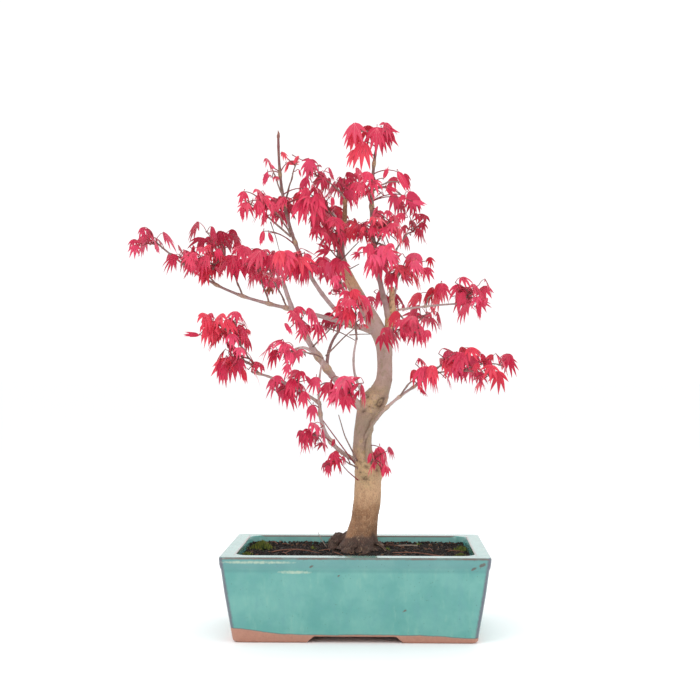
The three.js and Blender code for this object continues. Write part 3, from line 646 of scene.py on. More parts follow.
# Fine roots lie on the soil, three of them long: start, end, bow, steps, radius at start and end.
rootlet_count = 20
long_rootlets = [
    ((-95, -20, 88), (-42, -34, 89), (0, 5, 3), 14, 0.7, 0.35),
    ((-80, -34, 88), (-58, -26, 90), (0, 2, 3), 8, 0.5, 0.3),
    ((40, -30, 89), (98, -44, 87), (0, -3, 2.5), 14, 0.6, 0.3),
]
heap = Heap()
for _ in range(rootlet_count):
    start = np.array((chance.uniform(-118, 118), chance.uniform(-72, 72), 0))
    end = start + (chance.normal() * 16, chance.normal() * 12, 0)
    end = np.clip(end, (-122, -76, 0), (122, 76, 0))
    start[2] = soil_level(*start[:2]) + 1.2
    end[2] = soil_level(*end[:2]) + 1.0
    line = bent(start, end, (chance.normal() * 3, chance.normal() * 3, chance.uniform(0.5, 2.5)), 8)
    heap.add(*thin_tube(line, np.linspace(0.55, 0.25, 9), 4))
for start, end, bow, steps, thick, thin in long_rootlets:
    heap.add(*thin_tube(bent(start, end, bow, steps), np.linspace(thick, thin, steps + 1), 5))
root_finish = plain_finish("rootlet_finish", 0.8, tint(122, 78, 60))
rootlets = heap.piece("rootlets", root_finish)
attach(rootlets, "root")

# A dry stick lies on the right, and another leans against the trunk's foot.
heap = Heap()
heap.add(*thin_tube(bent((45, 22, 89.5), (70, 20, 90), (0, 0, 0.6), 6), np.full(7, 0.9), 6))
heap.add(*thin_tube(bent((-45, 12, 108), (-34, 8, 89), (-1.5, 0, 1), 8), np.linspace(0.3, 0.6, 9), 5))
stick_finish = plain_finish("stick_finish", 0.8, tint(142, 128, 116))
sticks = heap.piece("dry_sticks", stick_finish)
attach(sticks, "root")

# ---- Trunk ----
# An old trunk with a dark gnarled foot, two collars of knots where it was cut back, and a hollow scar at the
# upper one. Smooth grey-pink bark lies between them. It is one closed limb, its relief in the mesh.

# height, lean from the pot's middle, radius
trunk_stations = [
    (88.8, 2, 0, 22), (97, 3, 0, 19), (107, 6, 0, 16.8), (122, 9, 0, 15), (145, 12, 1, 15),
    (165, 13, 2, 15.2), (181, 13, 3, 15.8), (197, 7, 2, 11.2), (216, 7, 0, 10.3), (237, 10, 0, 11),
    (256, 18, 1, 13.4), (269, 26, 3, 10.4), (282, 31, 4, 9.1), (302, 32, 5, 8.5), (324, 30, 5, 9.5),
    (347, 19, 4, 9), (370, 6, 3, 7.2), (395, -8, 2, 6.7), (413, -16, 2, 6), (431, -18, 2, 4),
    (459, -14, 3, 2.8), (487, -13, 4, 2.3),
]
stations = np.array([(x, y, height) for height, x, y, radius in trunk_stations], float)
trunk_foot = trunk_stations[0][0]
gnarled_height = 24
flare_height = 17
trunk_rings = 330
trunk_sides = 56


def trunk_point(share):
    """The trunk's centre line: a cubic through the stations, shaped by the stations on either side."""
    last = len(stations) - 1
    span = min(int(share * last), last - 1)
    part = share * last - span
    before, start, end, after = (stations[min(max(i, 0), last)] for i in range(span - 1, span + 3))
    slope_in, slope_out = (end - before) / 2, (after - start) / 2
    rise = end - start
    return start + part * (slope_in + part * (3 * rise - 2 * slope_in - slope_out
                                              + part * (slope_in + slope_out - 2 * rise)))


def trunk_at(height):
    """The trunk's centre at a height."""
    low, high = 0.0, 1.0
    for _ in range(40):
        middle = (low + high) / 2
        if trunk_point(middle)[2] < height:
            low = middle
        else:
            high = middle
    return trunk_point(low)


def rolled_limb(name, centres, radii, sides, relief):
    """A closed limb: a grid rolled round a line of centres, its seam merged and its ends filled.
    relief(place, turn, radius) gives how far each point stands proud. The attribute grain is a place that
    runs with the bark: round the limb in two of its axes and along it in the third."""
    rings = len(centres) - 1
    centres = np.asarray(centres, float)
    normals, binormals = frames_along(centres)
    runs = np.concatenate([[0], np.cumsum(np.linalg.norm(np.diff(centres, axis=0), axis=1))])
    bm = bmesh.new()
    bmesh.ops.create_grid(bm, x_segments=sides, y_segments=rings, size=0.5)
    grain = bm.verts.layers.float_vector.new("grain")
    for vert in bm.verts:
        turn = (vert.co.x + 0.5) * 2 * math.pi
        ring = round((vert.co.y + 0.5) * rings)
        out = normals[ring] * math.cos(turn) + binormals[ring] * math.sin(turn)
        radius = radii[ring]
        place = centres[ring] + out * radius
        proud = relief(place, math.atan2(out[1], out[0]), radius)
        vert[grain] = (radius * math.cos(turn), radius * math.sin(turn), runs[ring])
        vert.co = placed(place + out * proud)
    bmesh.ops.remove_doubles(bm, verts=bm.verts, dist=1e-6)
    bmesh.ops.holes_fill(bm, edges=[edge for edge in bm.edges if edge.is_boundary], sides=0)
    bmesh.ops.recalc_face_normals(bm, faces=bm.faces)
    mesh = bpy.data.meshes.new(name)
    bm.to_mesh(mesh)
    bm.free()
    return mesh


# knots: height, turn in degrees with the front at -90, spread, how far the knot stands proud
knots = [
    (256, -48, 6.2, -5.4), (256, -48, 10.5, 4.8), (264, -95, 4, 2.2), (250, -118, 4.5, 2.3),
    (261, -150, 5, 2.4), (246, -82, 3.4, 1.2), (243, -28, 4.5, 1.4), (257, 10, 6, 1.5), (262, 80, 6, 1.8),
    (250, 150, 6, 1.2), (255, -100, 3, -1.2), (259, -128, 2.6, -1.0), (251, -95, 2.2, -0.9),
    (265, -115, 3, 1.0), (182, -28, 6.5, 2.6), (186, -70, 3.4, 1.7), (190, -105, 3.2, 1.5),
    (185, -135, 4.5, 1.6), (181, 60, 7, 1.6), (170, -104, 4.0, -2.1), (170, -104, 6.5, 1.2),
    (175, -75, 3, 0.9), (190, -62, 2.4, -1.6), (179, -50, 2.2, -1.3), (183, -95, 2.2, -1.2),
    (194, -88, 2.6, 1.2), (177, -125, 2.4, -0.9), (188, -118, 2.0, -1.0), (214, -35, 3, 1.3),
    (224, -22, 3.4, 1.5), (219, -18, 2.2, -1.2), (150, -40, 4, 0.8), (136, -130, 5, 0.8),
    (120, -60, 6, 1.0), (112, -120, 5, 1.2), (322, -140, 5, 0.8), (281, -20, 3, 0.9), (288, -150, 3, 0.7),
    (328, -60, 5, 1.0), (342, -100, 4, 0.6), (371, -110, 3, 0.6), (398, -60, 3, 0.7), (412, 180, 4, 0.9),
    (130, 40, 7, 1.0), (160, 120, 6, 0.9), (205, 100, 4, 0.8), (300, 60, 4, 0.7), (484, 180, 2, 0.9),
    (480, -60, 1.8, 0.8), (470, -120, 2, 0.5),
]
# dark hollow scars, and healed bark round the cuts: height, turn, spread
scars = [
    (256, -48, 7.4), (170, -104, 3.5), (190, -62, 2.5), (179, -50, 2.2), (246, -112, 2.2),
    (183, -95, 2.0), (219, -18, 2.4), (188, -118, 1.5), (262, -122, 1.6), (327, -56, 1.8), (181, 70, 3.5),
    (177, -125, 1.5), (251, -95, 1.4), (281, -20, 1.4),
]
callus = [
    (260, -100, 11), (250, -70, 9), (262, 180, 12), (256, 60, 10), (189, -85, 8), (178, -110, 8),
    (184, -40, 7), (166, -95, 7), (186, 120, 9), (197, -60, 5), (201, -110, 4), (212, -100, 3),
]


def lies_near(height, turn, radius, spot):
    """1 at a spot on the trunk, falling off over its spread."""
    spot_height, spot_turn, spread = spot[:3]
    apart = (turn - math.radians(spot_turn) + math.pi) % (2 * math.pi) - math.pi
    return math.exp(-((height - spot_height) ** 2 + (radius * apart) ** 2) / (spread * spread))


def trunk_relief(place, turn, radius):
    height = place[2]
    foot = max(0.0, 1 - (height - trunk_foot) / gnarled_height)
    spread = max(0.0, 1 - (height - trunk_foot) / flare_height)
    spot = Vector(place)
    proud = 0.14 * radius * foot * math.cos(5 * turn) + 5.5 * spread ** 1.4
    proud += 2.4 * foot * noise.noise(spot / 6) + 0.05 * radius * noise.noise(spot / 16)
    lengthways = Vector((spot.x / 2.4, spot.y / 2.4, spot.z / 11))
    old = float(np.interp(height, [150, 200], [1, 0.35]))
    proud += 0.5 * old * noise.fractal(lengthways, 0.9, 2.1, 3)
    proud += 0.3 * (old + foot) * noise.noise(spot / 1.4)
    for knot in knots:
        if abs(height - knot[0]) < 3 * knot[2]:
            proud += knot[3] * lies_near(height, turn, radius, knot)
    cuts = [spot for spot in callus if abs(height - spot[0]) < 3 * spot[2]]
    healed = min(1.0, sum(lies_near(height, turn, radius, cut) for cut in cuts))
    return proud + healed * (1.1 * noise.noise(spot / 3.2) + 0.6 * noise.noise(spot / 1.5))


shares = np.linspace(0, 1, trunk_rings + 1)
trunk_centres = np.array([trunk_point(share) for share in shares])
trunk_radii = np.interp(trunk_centres[:, 2], [s[0] for s in trunk_stations], [s[3] for s in trunk_stations])
trunk_radii = np.convolve(np.pad(trunk_radii, 4, mode="edge"), np.full(9, 1 / 9), mode="valid")
trunk_mesh = rolled_limb("trunk_bark", trunk_centres, trunk_radii, trunk_sides, trunk_relief)


def give_attribute(mesh, name, values):
    layer = mesh.attributes.new(name, "FLOAT", "POINT")
    layer.data.foreach_set("value", np.asarray(values, np.float32))


# height, and the bark's tone there
trunk_tones = [
    (88, 0.0), (103, 0.06), (108, 0.18), (132, 0.2), (150, 0.29), (163, 0.34), (190, 0.42), (205, 0.5),
    (232, 0.58), (256, 0.44), (275, 0.64), (340, 0.68), (372, 0.66), (388, 0.38), (413, 0.42), (420, 0.84),
    (452, 0.84), (462, 0.16), (487, 0.18),
]


def trunk_marks(mesh):
    """How much of each vertex is callus and scar, and its tone from foot to tip."""
    tones, calluses, hollows = [], [], []
    heights, tones_there = zip(*trunk_tones)
    for vert in mesh.vertices:
        x, y, height = (vert.co - pot_middle) / MM
        centre = trunk_at(height)
        turn = math.atan2(y - centre[1], x - centre[0])
        radius = math.hypot(y - centre[1], x - centre[0])
        wavering = height + 5 * noise.noise(vert.co / (9 * MM))
        tones.append(float(np.interp(wavering, heights, tones_there)))
        calluses.append(min(1.0, sum(lies_near(height, turn, radius, s) for s in callus)))
        # the largest scar healed in rings
        closeness = lies_near(height, turn, radius, scars[0])
        distance = scars[0][2] * math.sqrt(-math.log(max(closeness, 1e-9)))
        inside = float(np.interp(distance, [6.6, 8.8], [1, 0]))
        ringed = inside * (0.62 + 0.38 * math.cos(1.35 * distance))
        ragged = 1 + 1.1 * noise.noise(vert.co / (1.7 * MM))
        hollows.append(min(1.0, ringed + ragged * sum(lies_near(height, turn, radius, s) for s in scars[1:])))
    give_attribute(mesh, "tone", tones)
    give_attribute(mesh, "callus", calluses)
    give_attribute(mesh, "scar", hollows)


trunk_marks(trunk_mesh)

bark, tree, shader = finish_with("maple_bark", 0.78)
make = Shading(tree)
grain_place = make.stretched(make.own("grain", "Vector"), (1, 1, 0.22))
round_place = make.own("grain", "Vector")
tone = make.own("tone")
tones = make.nodes.new("ShaderNodeValToRGB")
make.links.new(make.plus(tone, make.scaled(make.noise(round_place, 0.12, 3), 0.16, -0.08)),
               tones.inputs[0])
stops = [(0.0, (54, 38, 32)), (0.1, (84, 61, 50)), (0.2, (148, 106, 74)), (0.3, (196, 156, 120)),
         (0.4, (200, 166, 130)), (0.5, (166, 138, 126)), (0.58, (156, 137, 118)), (0.66, (176, 150, 140)),
         (0.74, (184, 162, 160)), (0.82, (152, 122, 122)), (0.9, (116, 76, 76)), (1.0, (124, 50, 56))]
ramp = tones.color_ramp
while len(ramp.elements) < len(stops):
    ramp.elements.new(0.5)
for element, (at, colour) in zip(ramp.elements, stops):
    element.position = at
    element.color = tint(*colour)
# the old lower bark is the most mottled
aged = make.ramp(tone, 0.62, 0.34)
streaks = make.noise(grain_place, 0.9, 5, 0.65)
dark_streak = make.times(make.ramp(streaks, 0.52, 0.7), make.scaled(aged, 0.32, 0.22))
bark_colour = make.mix(dark_streak, tones.outputs[0], tint(94, 66, 52))
light_streak = make.times(make.ramp(streaks, 0.45, 0.3), make.scaled(aged, 0.3, 0.16))
bark_colour = make.mix(light_streak, bark_colour, tint(214, 186, 150))
fleck = make.noise(make.stretched(round_place, (1, 1, 0.7)), 0.8, 5, 0.8)
dark_fleck = make.times(make.ramp(fleck, 0.54, 0.64), make.scaled(aged, 0.42, 0.16))
bark_colour = make.mix(dark_fleck, bark_colour, tint(96, 70, 52))
light_fleck = make.times(make.ramp(fleck, 0.47, 0.37), make.scaled(aged, 0.42, 0.1))
light_fleck = make.times(light_fleck, make.ramp(tone, 0.04, 0.26))
bark_colour = make.mix(light_fleck, bark_colour, tint(214, 182, 140))
blotch = make.ramp(make.noise(round_place, 0.34, 5, 0.75), 0.47, 0.6)
knotted = make.times(make.own("callus"), make.scaled(blotch, 0.6, 0.25))
bark_colour = make.mix(knotted, bark_colour, tint(196, 168, 122))
crusted = make.ramp(make.noise(round_place, 0.42, 4, 0.7), 0.53, 0.63)
bark_colour = make.mix(make.times(crusted, make.times(make.own("callus"), 0.5)),
                       bark_colour, tint(106, 92, 66))
olive = make.times(make.ramp(make.noise(round_place, 0.18, 3), 0.54, 0.68), 0.34)
bark_colour = make.mix(make.times(olive, make.ramp(tone, 0.3, 0.5)), bark_colour, tint(132, 126, 88))
pits = make.ramp(make.cells(make.stretched(round_place, (1, 1, 0.6)), 0.5), 0.17, 0.08)
bark_colour = make.mix(make.times(pits, 0.35), bark_colour, tint(90, 66, 54))
bark_colour = make.mix(make.times(make.own("scar"), 0.85), bark_colour, tint(78, 58, 42))
make.links.new(bark_colour, shader.inputs["Base Color"])
bark_height = make.plus(make.times(streaks, 0.8), make.times(pits, -0.35))
bark_height = make.plus(bark_height, make.times(fleck, make.scaled(aged, 0.5, 0.1)))
make.links.new(make.bump(bark_height, 0.75, 0.6 * MM), shader.inputs["Normal"])

trunk = piece_from("trunk_bark", trunk_mesh, bark)
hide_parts("trunk")
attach(trunk, "root")

# ---- Surface roots ----
# Roots that spread from the trunk's foot into the soil, the largest a gnarled lump on its left. They are
# rolled like the trunk, with a rougher relief, and carry its bark.

# start, end, bow, radius at start and end
root_runs = [
    ((-6, 6, 96), (-26, 5, 88), (-3, 0, 6), 9, 8.5), ((-14, 4, 96), (-29, -3, 86), (0, 0, 4), 6, 5.5),
    ((2, -8, 95), (-12, -25, 85), (0, -2, 2), 9, 5.5), ((4, -8, 94), (10, -28, 84), (1, -2, 2), 9, 5),
    ((12, -2, 96), (35, -12, 85), (2, -1, 4.5), 4, 1.5), ((8, 4, 95), (30, 16, 84), (2, 2, 2), 8, 4.5),
    ((2, 6, 95), (-2, 30, 84), (0, 2, 2), 8, 5), ((-4, 4, 94), (-30, 22, 84), (-2, 2, 3), 7, 4),
]
root_steps = 40
root_sides = 40
joined = bmesh.new()
for start, end, bow, thick, thin in root_runs:
    line = bent(start, end, bow, root_steps)
    radii = np.linspace(thick, thin, root_steps + 1)

    def root_relief(place, turn, radius):
        spot = Vector(place)
        rugged = 2.8 * noise.noise(spot / 6) + 2.0 * noise.noise(spot / 2.8) + 0.6 * noise.noise(spot / 1.2)
        return rugged * min(1.0, radius / 7)

    one = rolled_limb("root", line, radii, root_sides, root_relief)
    joined.from_mesh(one)
    bpy.data.meshes.remove(one)
root_mesh = bpy.data.meshes.new("surface_roots")
joined.to_mesh(root_mesh)
joined.free()
root_tones = [0.02 + 0.2 * max(0, noise.noise(vert.co / (5 * MM))) for vert in root_mesh.vertices]
give_attribute(root_mesh, "tone", root_tones)
give_attribute(root_mesh, "callus", np.zeros(len(root_tones)))
give_attribute(root_mesh, "scar", np.zeros(len(root_tones)))
roots = piece_from("surface_roots", root_mesh, bark)
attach(roots, "root")

# ---- Boughs ----
# Smooth grey-pink limbs that leave the trunk's knots, each tapering once, thickened at its foot and ringed at
# its old buds. The cut stump on the right has a bare split end.


class Limb:
    """A centre line from a start along its reach, bowed once and swayed once."""

    steps = 200
    shares = np.arange(steps + 1) / steps

    def __init__(self, start, reach, bow, sway=(0, 0, 0)):
        self.start, self.reach = np.asarray(start, float), np.asarray(reach, float)
        self.bow, self.sway = np.asarray(bow, float), np.asarray(sway, float)
        table = np.array([self.point(share) for share in self.shares])
        self.lengths = np.concatenate([[0], np.cumsum(np.linalg.norm(np.diff(table, axis=0), axis=1))])

    def point(self, share):
        return (self.start + self.reach * share + self.bow * (4 * share * (1 - share))
                + self.sway * math.sin(2 * math.pi * share))

    def even(self, share):
        """The point at a share of the length."""
        target = share * self.lengths[-1]
        return self.point(float(np.interp(target, self.lengths, self.shares)))

    def run_to(self, share):
        """The length from the start to a share of the line."""
        return np.interp(share, self.shares, self.lengths)


# name, foot on the trunk at a height or on a bough at a share, reach, bow, sway, radius at foot and tip
bough_table = [
    ("left_bough", 335, (-261, 31, 107), (-2, 8, -18), (0, 0, 6), (3.9, 0.9)),
    ("left_leader", ("left_bough", 0.12), (-81, -28, 212), (-20, -14, -19), (0, 0, 0), (2.7, 0.9)),
    ("steep_left_bough", 243, (-92, -46, 147), (-13, -4, -2), (0, 0, 0), (4.6, 2.2)),
    ("inner_upright", ("steep_left_bough", 0.36), (12, 33, 42), (-3, 0, 3), (0, 0, 0), (2, 1.4)),
    ("fork_shoot", 254, (-16, -49, 72), (-10, -4, -4), (0, 0, 0), (1.8, 1.1)),
    ("right_low_bough", 200, (66, -2, 78), (-14, -20, 2), (0, 0, 0), (2.3, 1.4)),
    ("left_low_bough", 185, (-52, -33, 70), (-14, -6, -8), (0, 0, 0), (2.8, 1.9)),
    ("left_low_arm", ("left_low_bough", 1), (-73, -28, 35), (0, 0, 5), (0, 0, 0), (1.8, 1.2)),
    ("left_low_upright", ("left_low_bough", 0.88), (4, -16, 62), (-3, -3, 0), (0, 0, 0), (1.4, 1)),
    ("right_stump", 322, (9, -1, 65), (4, -1, 0), (0, 0, 0), (5, 2.6)),
    ("right_leader", ("right_stump", 0.42), (-14, -8, 205), (-13, -11, 0), (0, 0, 0), (3.4, 1.1)),
    ("right_riser", ("right_stump", 0.72), (5, 14, 62), (4, 2, 0), (0, 0, 0), (1.5, 1)),
    ("right_bough", ("right_stump", 0.58), (77, -4, 8), (0, 0, 1), (0, 0, 0), (1.4, 0.9)),
    ("back_right_bough", 312, (40, 82, 38), (0, 0, 8), (0, 0, 0), (3, 1.3)),
    ("back_left_bough", 395, (-42, 93, 22), (0, 0, 8), (0, 0, 0), (2.6, 1.2)),
    ("back_top_bough", 440, (-13, 72, 40), (0, 4, 6), (0, 0, 0), (1.8, 1)),
    ("back_low_bough", ("steep_left_bough", 0.45), (-42, 88, 2), (0, 0, 10), (0, 0, 0), (2.2, 1.1)),
]
# the bark's tone at a bough's foot and tip, and how much stouter than its solid the tip is
bough_looks = {
    "right_stump": (0.36, 0.3, 1), "left_leader": (0.7, 0.95, 1.5), "fork_shoot": (0.72, 0.75, 1),
    "left_low_upright": (0.7, 0.72, 1), "right_leader": (0.8, 0.93, 1.2), "left_bough": (0.7, 0.88, 1.1),
    "steep_left_bough": (0.7, 0.78, 1), "left_low_bough": (0.64, 0.78, 1), "inner_upright": (0.84, 0.86, 1),
    "right_low_bough": (0.46, 0.84, 1),
}
# knots where stems and later limbs leave a bough, at shares of it
bough_knots = {
    "left_bough": (0.12, 0.4, 0.48, 0.6, 0.72), "left_leader": (0.52, 0.7, 0.84),
    "steep_left_bough": (0.36, 0.45, 0.62), "fork_shoot": (0.45,), "right_low_bough": (0.62, 0.78, 0.93),
    "left_low_bough": (0.5, 0.88), "left_low_arm": (0.4, 0.9), "right_stump": (0.42, 0.58),
    "right_leader": (0.38, 0.62, 0.7, 0.86), "right_riser": (0.5,), "right_bough": (0.5,),
}
# boughs that thin most over their first third
thinning = {"left_bough": 0.55, "steep_left_bough": 0.8, "left_low_bough": 0.8, "right_low_bough": 0.8}
bough_sides = 14
ring_gap = 1.8
limbs = {}


def foot_at(foot_on):
    """Where a limb starts: on another limb at a share of it, or on the trunk at a height."""
    return limbs[foot_on[0]].point(foot_on[1]) if isinstance(foot_on, tuple) else trunk_at(foot_on)


joined = bmesh.new()
tone_values, callus_values, scar_values = [], [], []
for name, foot_on, reach, bow, sway, (foot, tip) in bough_table:
    limb = Limb(foot_at(foot_on), reach, bow, sway)
    limbs[name] = limb
    rings = max(12, int(limb.lengths[-1] / ring_gap))
    shares = np.linspace(0, 1, rings + 1)
    centres = np.array([limb.point(share) for share in shares])
    along = limb.run_to(shares)
    tone_foot, tone_tip, stouter = bough_looks.get(name, (0.7, 0.8, 1))
    knot_runs = [float(limb.run_to(share)) for share in bough_knots.get(name, ())]
    # a collar where it leaves, a swelling at each knot, and a ring at every old bud
    base = foot + (tip * stouter - foot) * shares ** thinning.get(name, 1)
    collar = 0.45 * foot * np.exp(-((along - foot) / (2.2 * foot)) ** 2)
    bud_gap = 17 + 3 * foot
    rings_out = 0.16 * base * np.exp(-(((along + bud_gap / 2) % bud_gap - bud_gap / 2) / 1.6) ** 2)
    swelling = 0 * base
    for run in knot_runs:
        swelling = swelling + 0.5 * base * np.exp(-((along - run) / (0.9 * foot + 0.8)) ** 2)
    radii = base + collar + swelling + np.where(shares > 0.05, rings_out, 0)
    broken = name == "right_stump"

    def bough_relief(place, turn, radius):
        spot = Vector(place)
        rugged = 0.07 * radius * noise.noise(spot / 7) + 0.05 * radius * noise.noise(spot / 1.8)
        return rugged + (0.5 * noise.noise(Vector((spot.x / 1.6, spot.y / 1.6, spot.z / 7))) if broken else 0)

    one = rolled_limb(name, centres, radii, bough_sides, bough_relief)
    joined.from_mesh(one)
    for vert, run in zip(one.vertices, one.attributes["grain"].data):
        length = run.vector[2]
        tone_values.append(tone_foot + (tone_tip - tone_foot) * length / limb.lengths[-1])
        knotted = sum(math.exp(-((length - at) / (0.9 * foot + 1)) ** 2) for at in knot_runs)
        callus_values.append(min(1.0, 0.8 * math.exp(-(length / (3.2 * foot)) ** 2) + knotted))
        speckled = noise.noise(vert.co / ((2 if broken else 5) * MM))
        scar_values.append(max(0.0, speckled - 0.1) * 1.4 if broken else 0.5 * max(0.0, speckled - 0.35))
    bpy.data.meshes.remove(one)


def spread_over(corners, count):
    """A count of values, or of points, evenly spread over those of a few corners."""
    corners = np.array(corners, float)
    at = np.linspace(0, len(corners) - 1, count)
    if corners.ndim == 1:
        return np.interp(at, range(len(corners)), corners)
    return np.stack([np.interp(at, range(len(corners)), corners[:, axis]) for axis in range(3)], axis=1)


def grown_relief(place, turn, radius):
    return 0.08 * radius * noise.noise(Vector(place) / 3)


# The low right bough starts well down the trunk and has grown against its bark. The leader ends in a fat bud.
leader = limbs["left_leader"]
# line, radii along it, tone at its start and end
grown_on = [
    ([(13, -9, 184), (12.5, -12, 195), (13.5, -11.5, 208), (14.5, -9.5, 222), (18.5, -8, 236), (25, -8, 246),
      (32, -9.5, 252)], [2.2, 2.9, 2.8, 2.7, 2.7, 2.5, 2.0], (0.55, 0.6)),
    ([leader.point(0.985), leader.point(0.995), leader.point(1), leader.point(1) + (0.3, 0, 2.5),
      leader.point(1) + (-0.5, 0, 6)], [1.2, 1.9, 1.8, 1.2, 0.15], (0.93, 1.0)),
]
grown_steps = 40
for line, radii, tones_here in grown_on:
    centres = spread_over(line, grown_steps)
    for _ in range(6):
        centres[1:-1] = (centres[:-2] + centres[2:]) / 2
    one = rolled_limb("grown_on", centres, spread_over(radii, grown_steps), bough_sides, grown_relief)
    joined.from_mesh(one)
    tone_values += list(np.linspace(*tones_here, len(one.vertices)))
    callus_values += [0.25 + 0.5 * max(0.0, noise.noise(vert.co / (4 * MM))) for vert in one.vertices]
    scar_values += [0.0] * len(one.vertices)
    bpy.data.meshes.remove(one)
bough_mesh = bpy.data.meshes.new("boughs")
joined.to_mesh(bough_mesh)
joined.free()
give_attribute(bough_mesh, "tone", tone_values)
give_attribute(bough_mesh, "callus", callus_values)
give_attribute(bough_mesh, "scar", scar_values)
bough_piece = piece_from("boughs", bough_mesh, bark)
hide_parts(*[row[0] for row in bough_table])
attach(bough_piece, "root")

# ---- Shoots and leaves ----
# Each mass grows from one stem. Shoots fan out from it and carry opposite pairs of drooping leaves, first by
# the rule of the solids, and then on fine side twigs that fill the same space. Spring leaves are soft, deeply
# cut into five or seven narrow lobes, and hang like hands from red stalks.

# name, foot on a bough at a share or on the trunk at a height, sprays of (middle, half sizes, leaves)
mass_table = [
    ("mass_top", ("right_leader", 1), [((5, -4, 545), (20, 20, 26), 6), ((30, 4, 547), (16, 20, 26), 5)]),
    ("mass_right_high", ("right_leader", 0.7), [
        ((46, 22, 506), (13, 12, 16), 2), ((56, 26, 477), (22, 20, 17), 6)]),
    ("mass_right_front", ("right_leader", 0.38), [
        ((34, -45, 446), (19, 16, 21), 5),
        ((7, -36, 446), (8, 8, 13), 1),
        ((25, -78, 407), (24, 12, 14), 3)]),
    ("mass_right_back", ("right_riser", 1), [((68, 60, 451), (15, 16, 17), 4)]),
    ("mass_right_shoulder", ("right_riser", 0.5), [((58, 2, 402), (30, 20, 18), 7)]),
    ("mass_right_mid", ("right_bough", 0.5), [((77, 34, 375), (24, 20, 20), 6)]),
    ("mass_right_tip", ("right_bough", 1), [((127, -3, 371), (24, 20, 22), 7)]),
    ("mass_trunk_front", 318, [((58, -66, 331), (30, 20, 26), 9)]),
    ("mass_right_low_inner", ("right_low_bough", 0.78), [((76, -30, 286), (17, 14, 24), 4)]),
    ("mass_right_low_tip", ("right_low_bough", 1), [
        ((116, 2, 290), (22, 20, 24), 6), ((160, 12, 287), (24, 22, 24), 7)]),
    ("mass_right_low_back", ("right_low_bough", 0.93), [((126, 74, 290), (26, 22, 22), 6)]),
    ("mass_trunk_side", 178, [((27, -42, 192), (12, 10, 20), 3)]),
    ("mass_trunk_foot", 168, [((-26, -22, 184), (11, 10, 16), 3)]),
    ("mass_left_shoots", ("left_low_bough", 0.5), [((-45, -48, 212), (23, 14, 16), 5)]),
    ("mass_left_low_inner", ("left_low_arm", 0.4), [((-73, -24, 269), (27, 18, 18), 6)]),
    ("mass_fork_front", ("fork_shoot", 0.45), [((-13, -72, 260), (20, 16, 20), 4)]),
    ("mass_left_low_front", ("left_low_upright", 1), [((-79, -72, 305), (23, 16, 19), 5)]),
    ("mass_left_low_tip", ("left_low_arm", 1), [((-128, -60, 291), (33, 20, 20), 7)]),
    ("mass_left_mid", ("left_low_arm", 0.9), [((-145, -40, 336), (34, 24, 28), 9)]),
    ("mass_steep_front", ("steep_left_bough", 0.62), [((-53, -88, 336), (21, 18, 21), 6)]),
    ("mass_inner_back", ("inner_upright", 1), [((-30, 56, 350), (15, 16, 12), 4)]),
    ("mass_bend_front", ("fork_shoot", 1), [
        ((-4, -66, 362), (20, 14, 23), 6), ((-18, -50, 391), (10, 8, 11), 2)]),
    ("mass_bend_back", ("back_right_bough", 0.7), [((34, 82, 378), (20, 16, 14), 4)]),
    ("mass_back_right", ("back_right_bough", 1), [((76, 106, 350), (26, 22, 24), 7)]),
    ("mass_far_left_tip", ("left_bough", 1), [((-240, 36, 436), (30, 20, 15), 6)]),
    ("mass_far_left", ("left_bough", 0.72), [
        ((-208, 24, 416), (18, 16, 17), 4), ((-172, 4, 407), (31, 22, 23), 7)]),
    ("mass_left_upper", ("left_bough", 0.6), [((-169, 56, 452), (37, 24, 20), 8)]),
    ("mass_left_crown", ("left_bough", 0.48), [((-116, -4, 416), (29, 24, 24), 9)]),
    ("mass_left_back", ("left_bough", 0.4), [((-112, 84, 408), (28, 24, 24), 7)]),
    ("mass_left_crown_front", ("steep_left_bough", 1), [((-67, -62, 403), (26, 16, 20), 7)]),
    ("mass_leader_side", ("left_leader", 0.52), [((-113, -62, 470), (23, 16, 18), 6)]),
    ("mass_leader_high", ("left_leader", 0.7), [
        ((-83, 2, 480), (16, 14, 20), 4),
        ((-97, -34, 511), (8, 8, 16), 1),
        ((-66, -34, 522), (13, 8, 8), 1)]),
    ("mass_trunk_tip", 487, [((-52, 20, 510), (25, 16, 14), 5), ((-17, 32, 498), (20, 18, 19), 6)]),
    ("mass_centre_right", ("right_leader", 0.62), [((13, -36, 495), (14, 12, 14), 3)]),
    ("mass_centre_left", 450, [((-49, -14, 470), (25, 20, 26), 10)]),
    ("mass_centre_row", 404, [((-40, 30, 410), (28, 18, 16), 6)]),
    ("mass_centre_front", 424, [((-31, -38, 439), (22, 16, 18), 6)]),
    ("mass_centre_back", ("back_top_bough", 0.6), [((-9, 62, 452), (10, 12, 18), 3)]),
    ("mass_back_left", ("back_left_bough", 1), [((-52, 112, 414), (28, 24, 20), 7)]),
    ("mass_back_top", ("back_top_bough", 1), [((-38, 92, 478), (26, 22, 22), 7)]),
]
leaf_length = 36
leaf_slack = np.array((7, 24, 8))
stem_radius = 1.3
twig_radius = 0.9
# shares of a leaf's length: how far down it its middle lies, its sag, its disc's radius and depth, its stalk
middle_share = 0.48
sag_share = 0.1
radius_share = 0.54
depth_share = 0.05
stalk_share = 0.42
# the tree's own leaves are smaller than those of the solids, and more
own_size = 0.84
young_length = 24


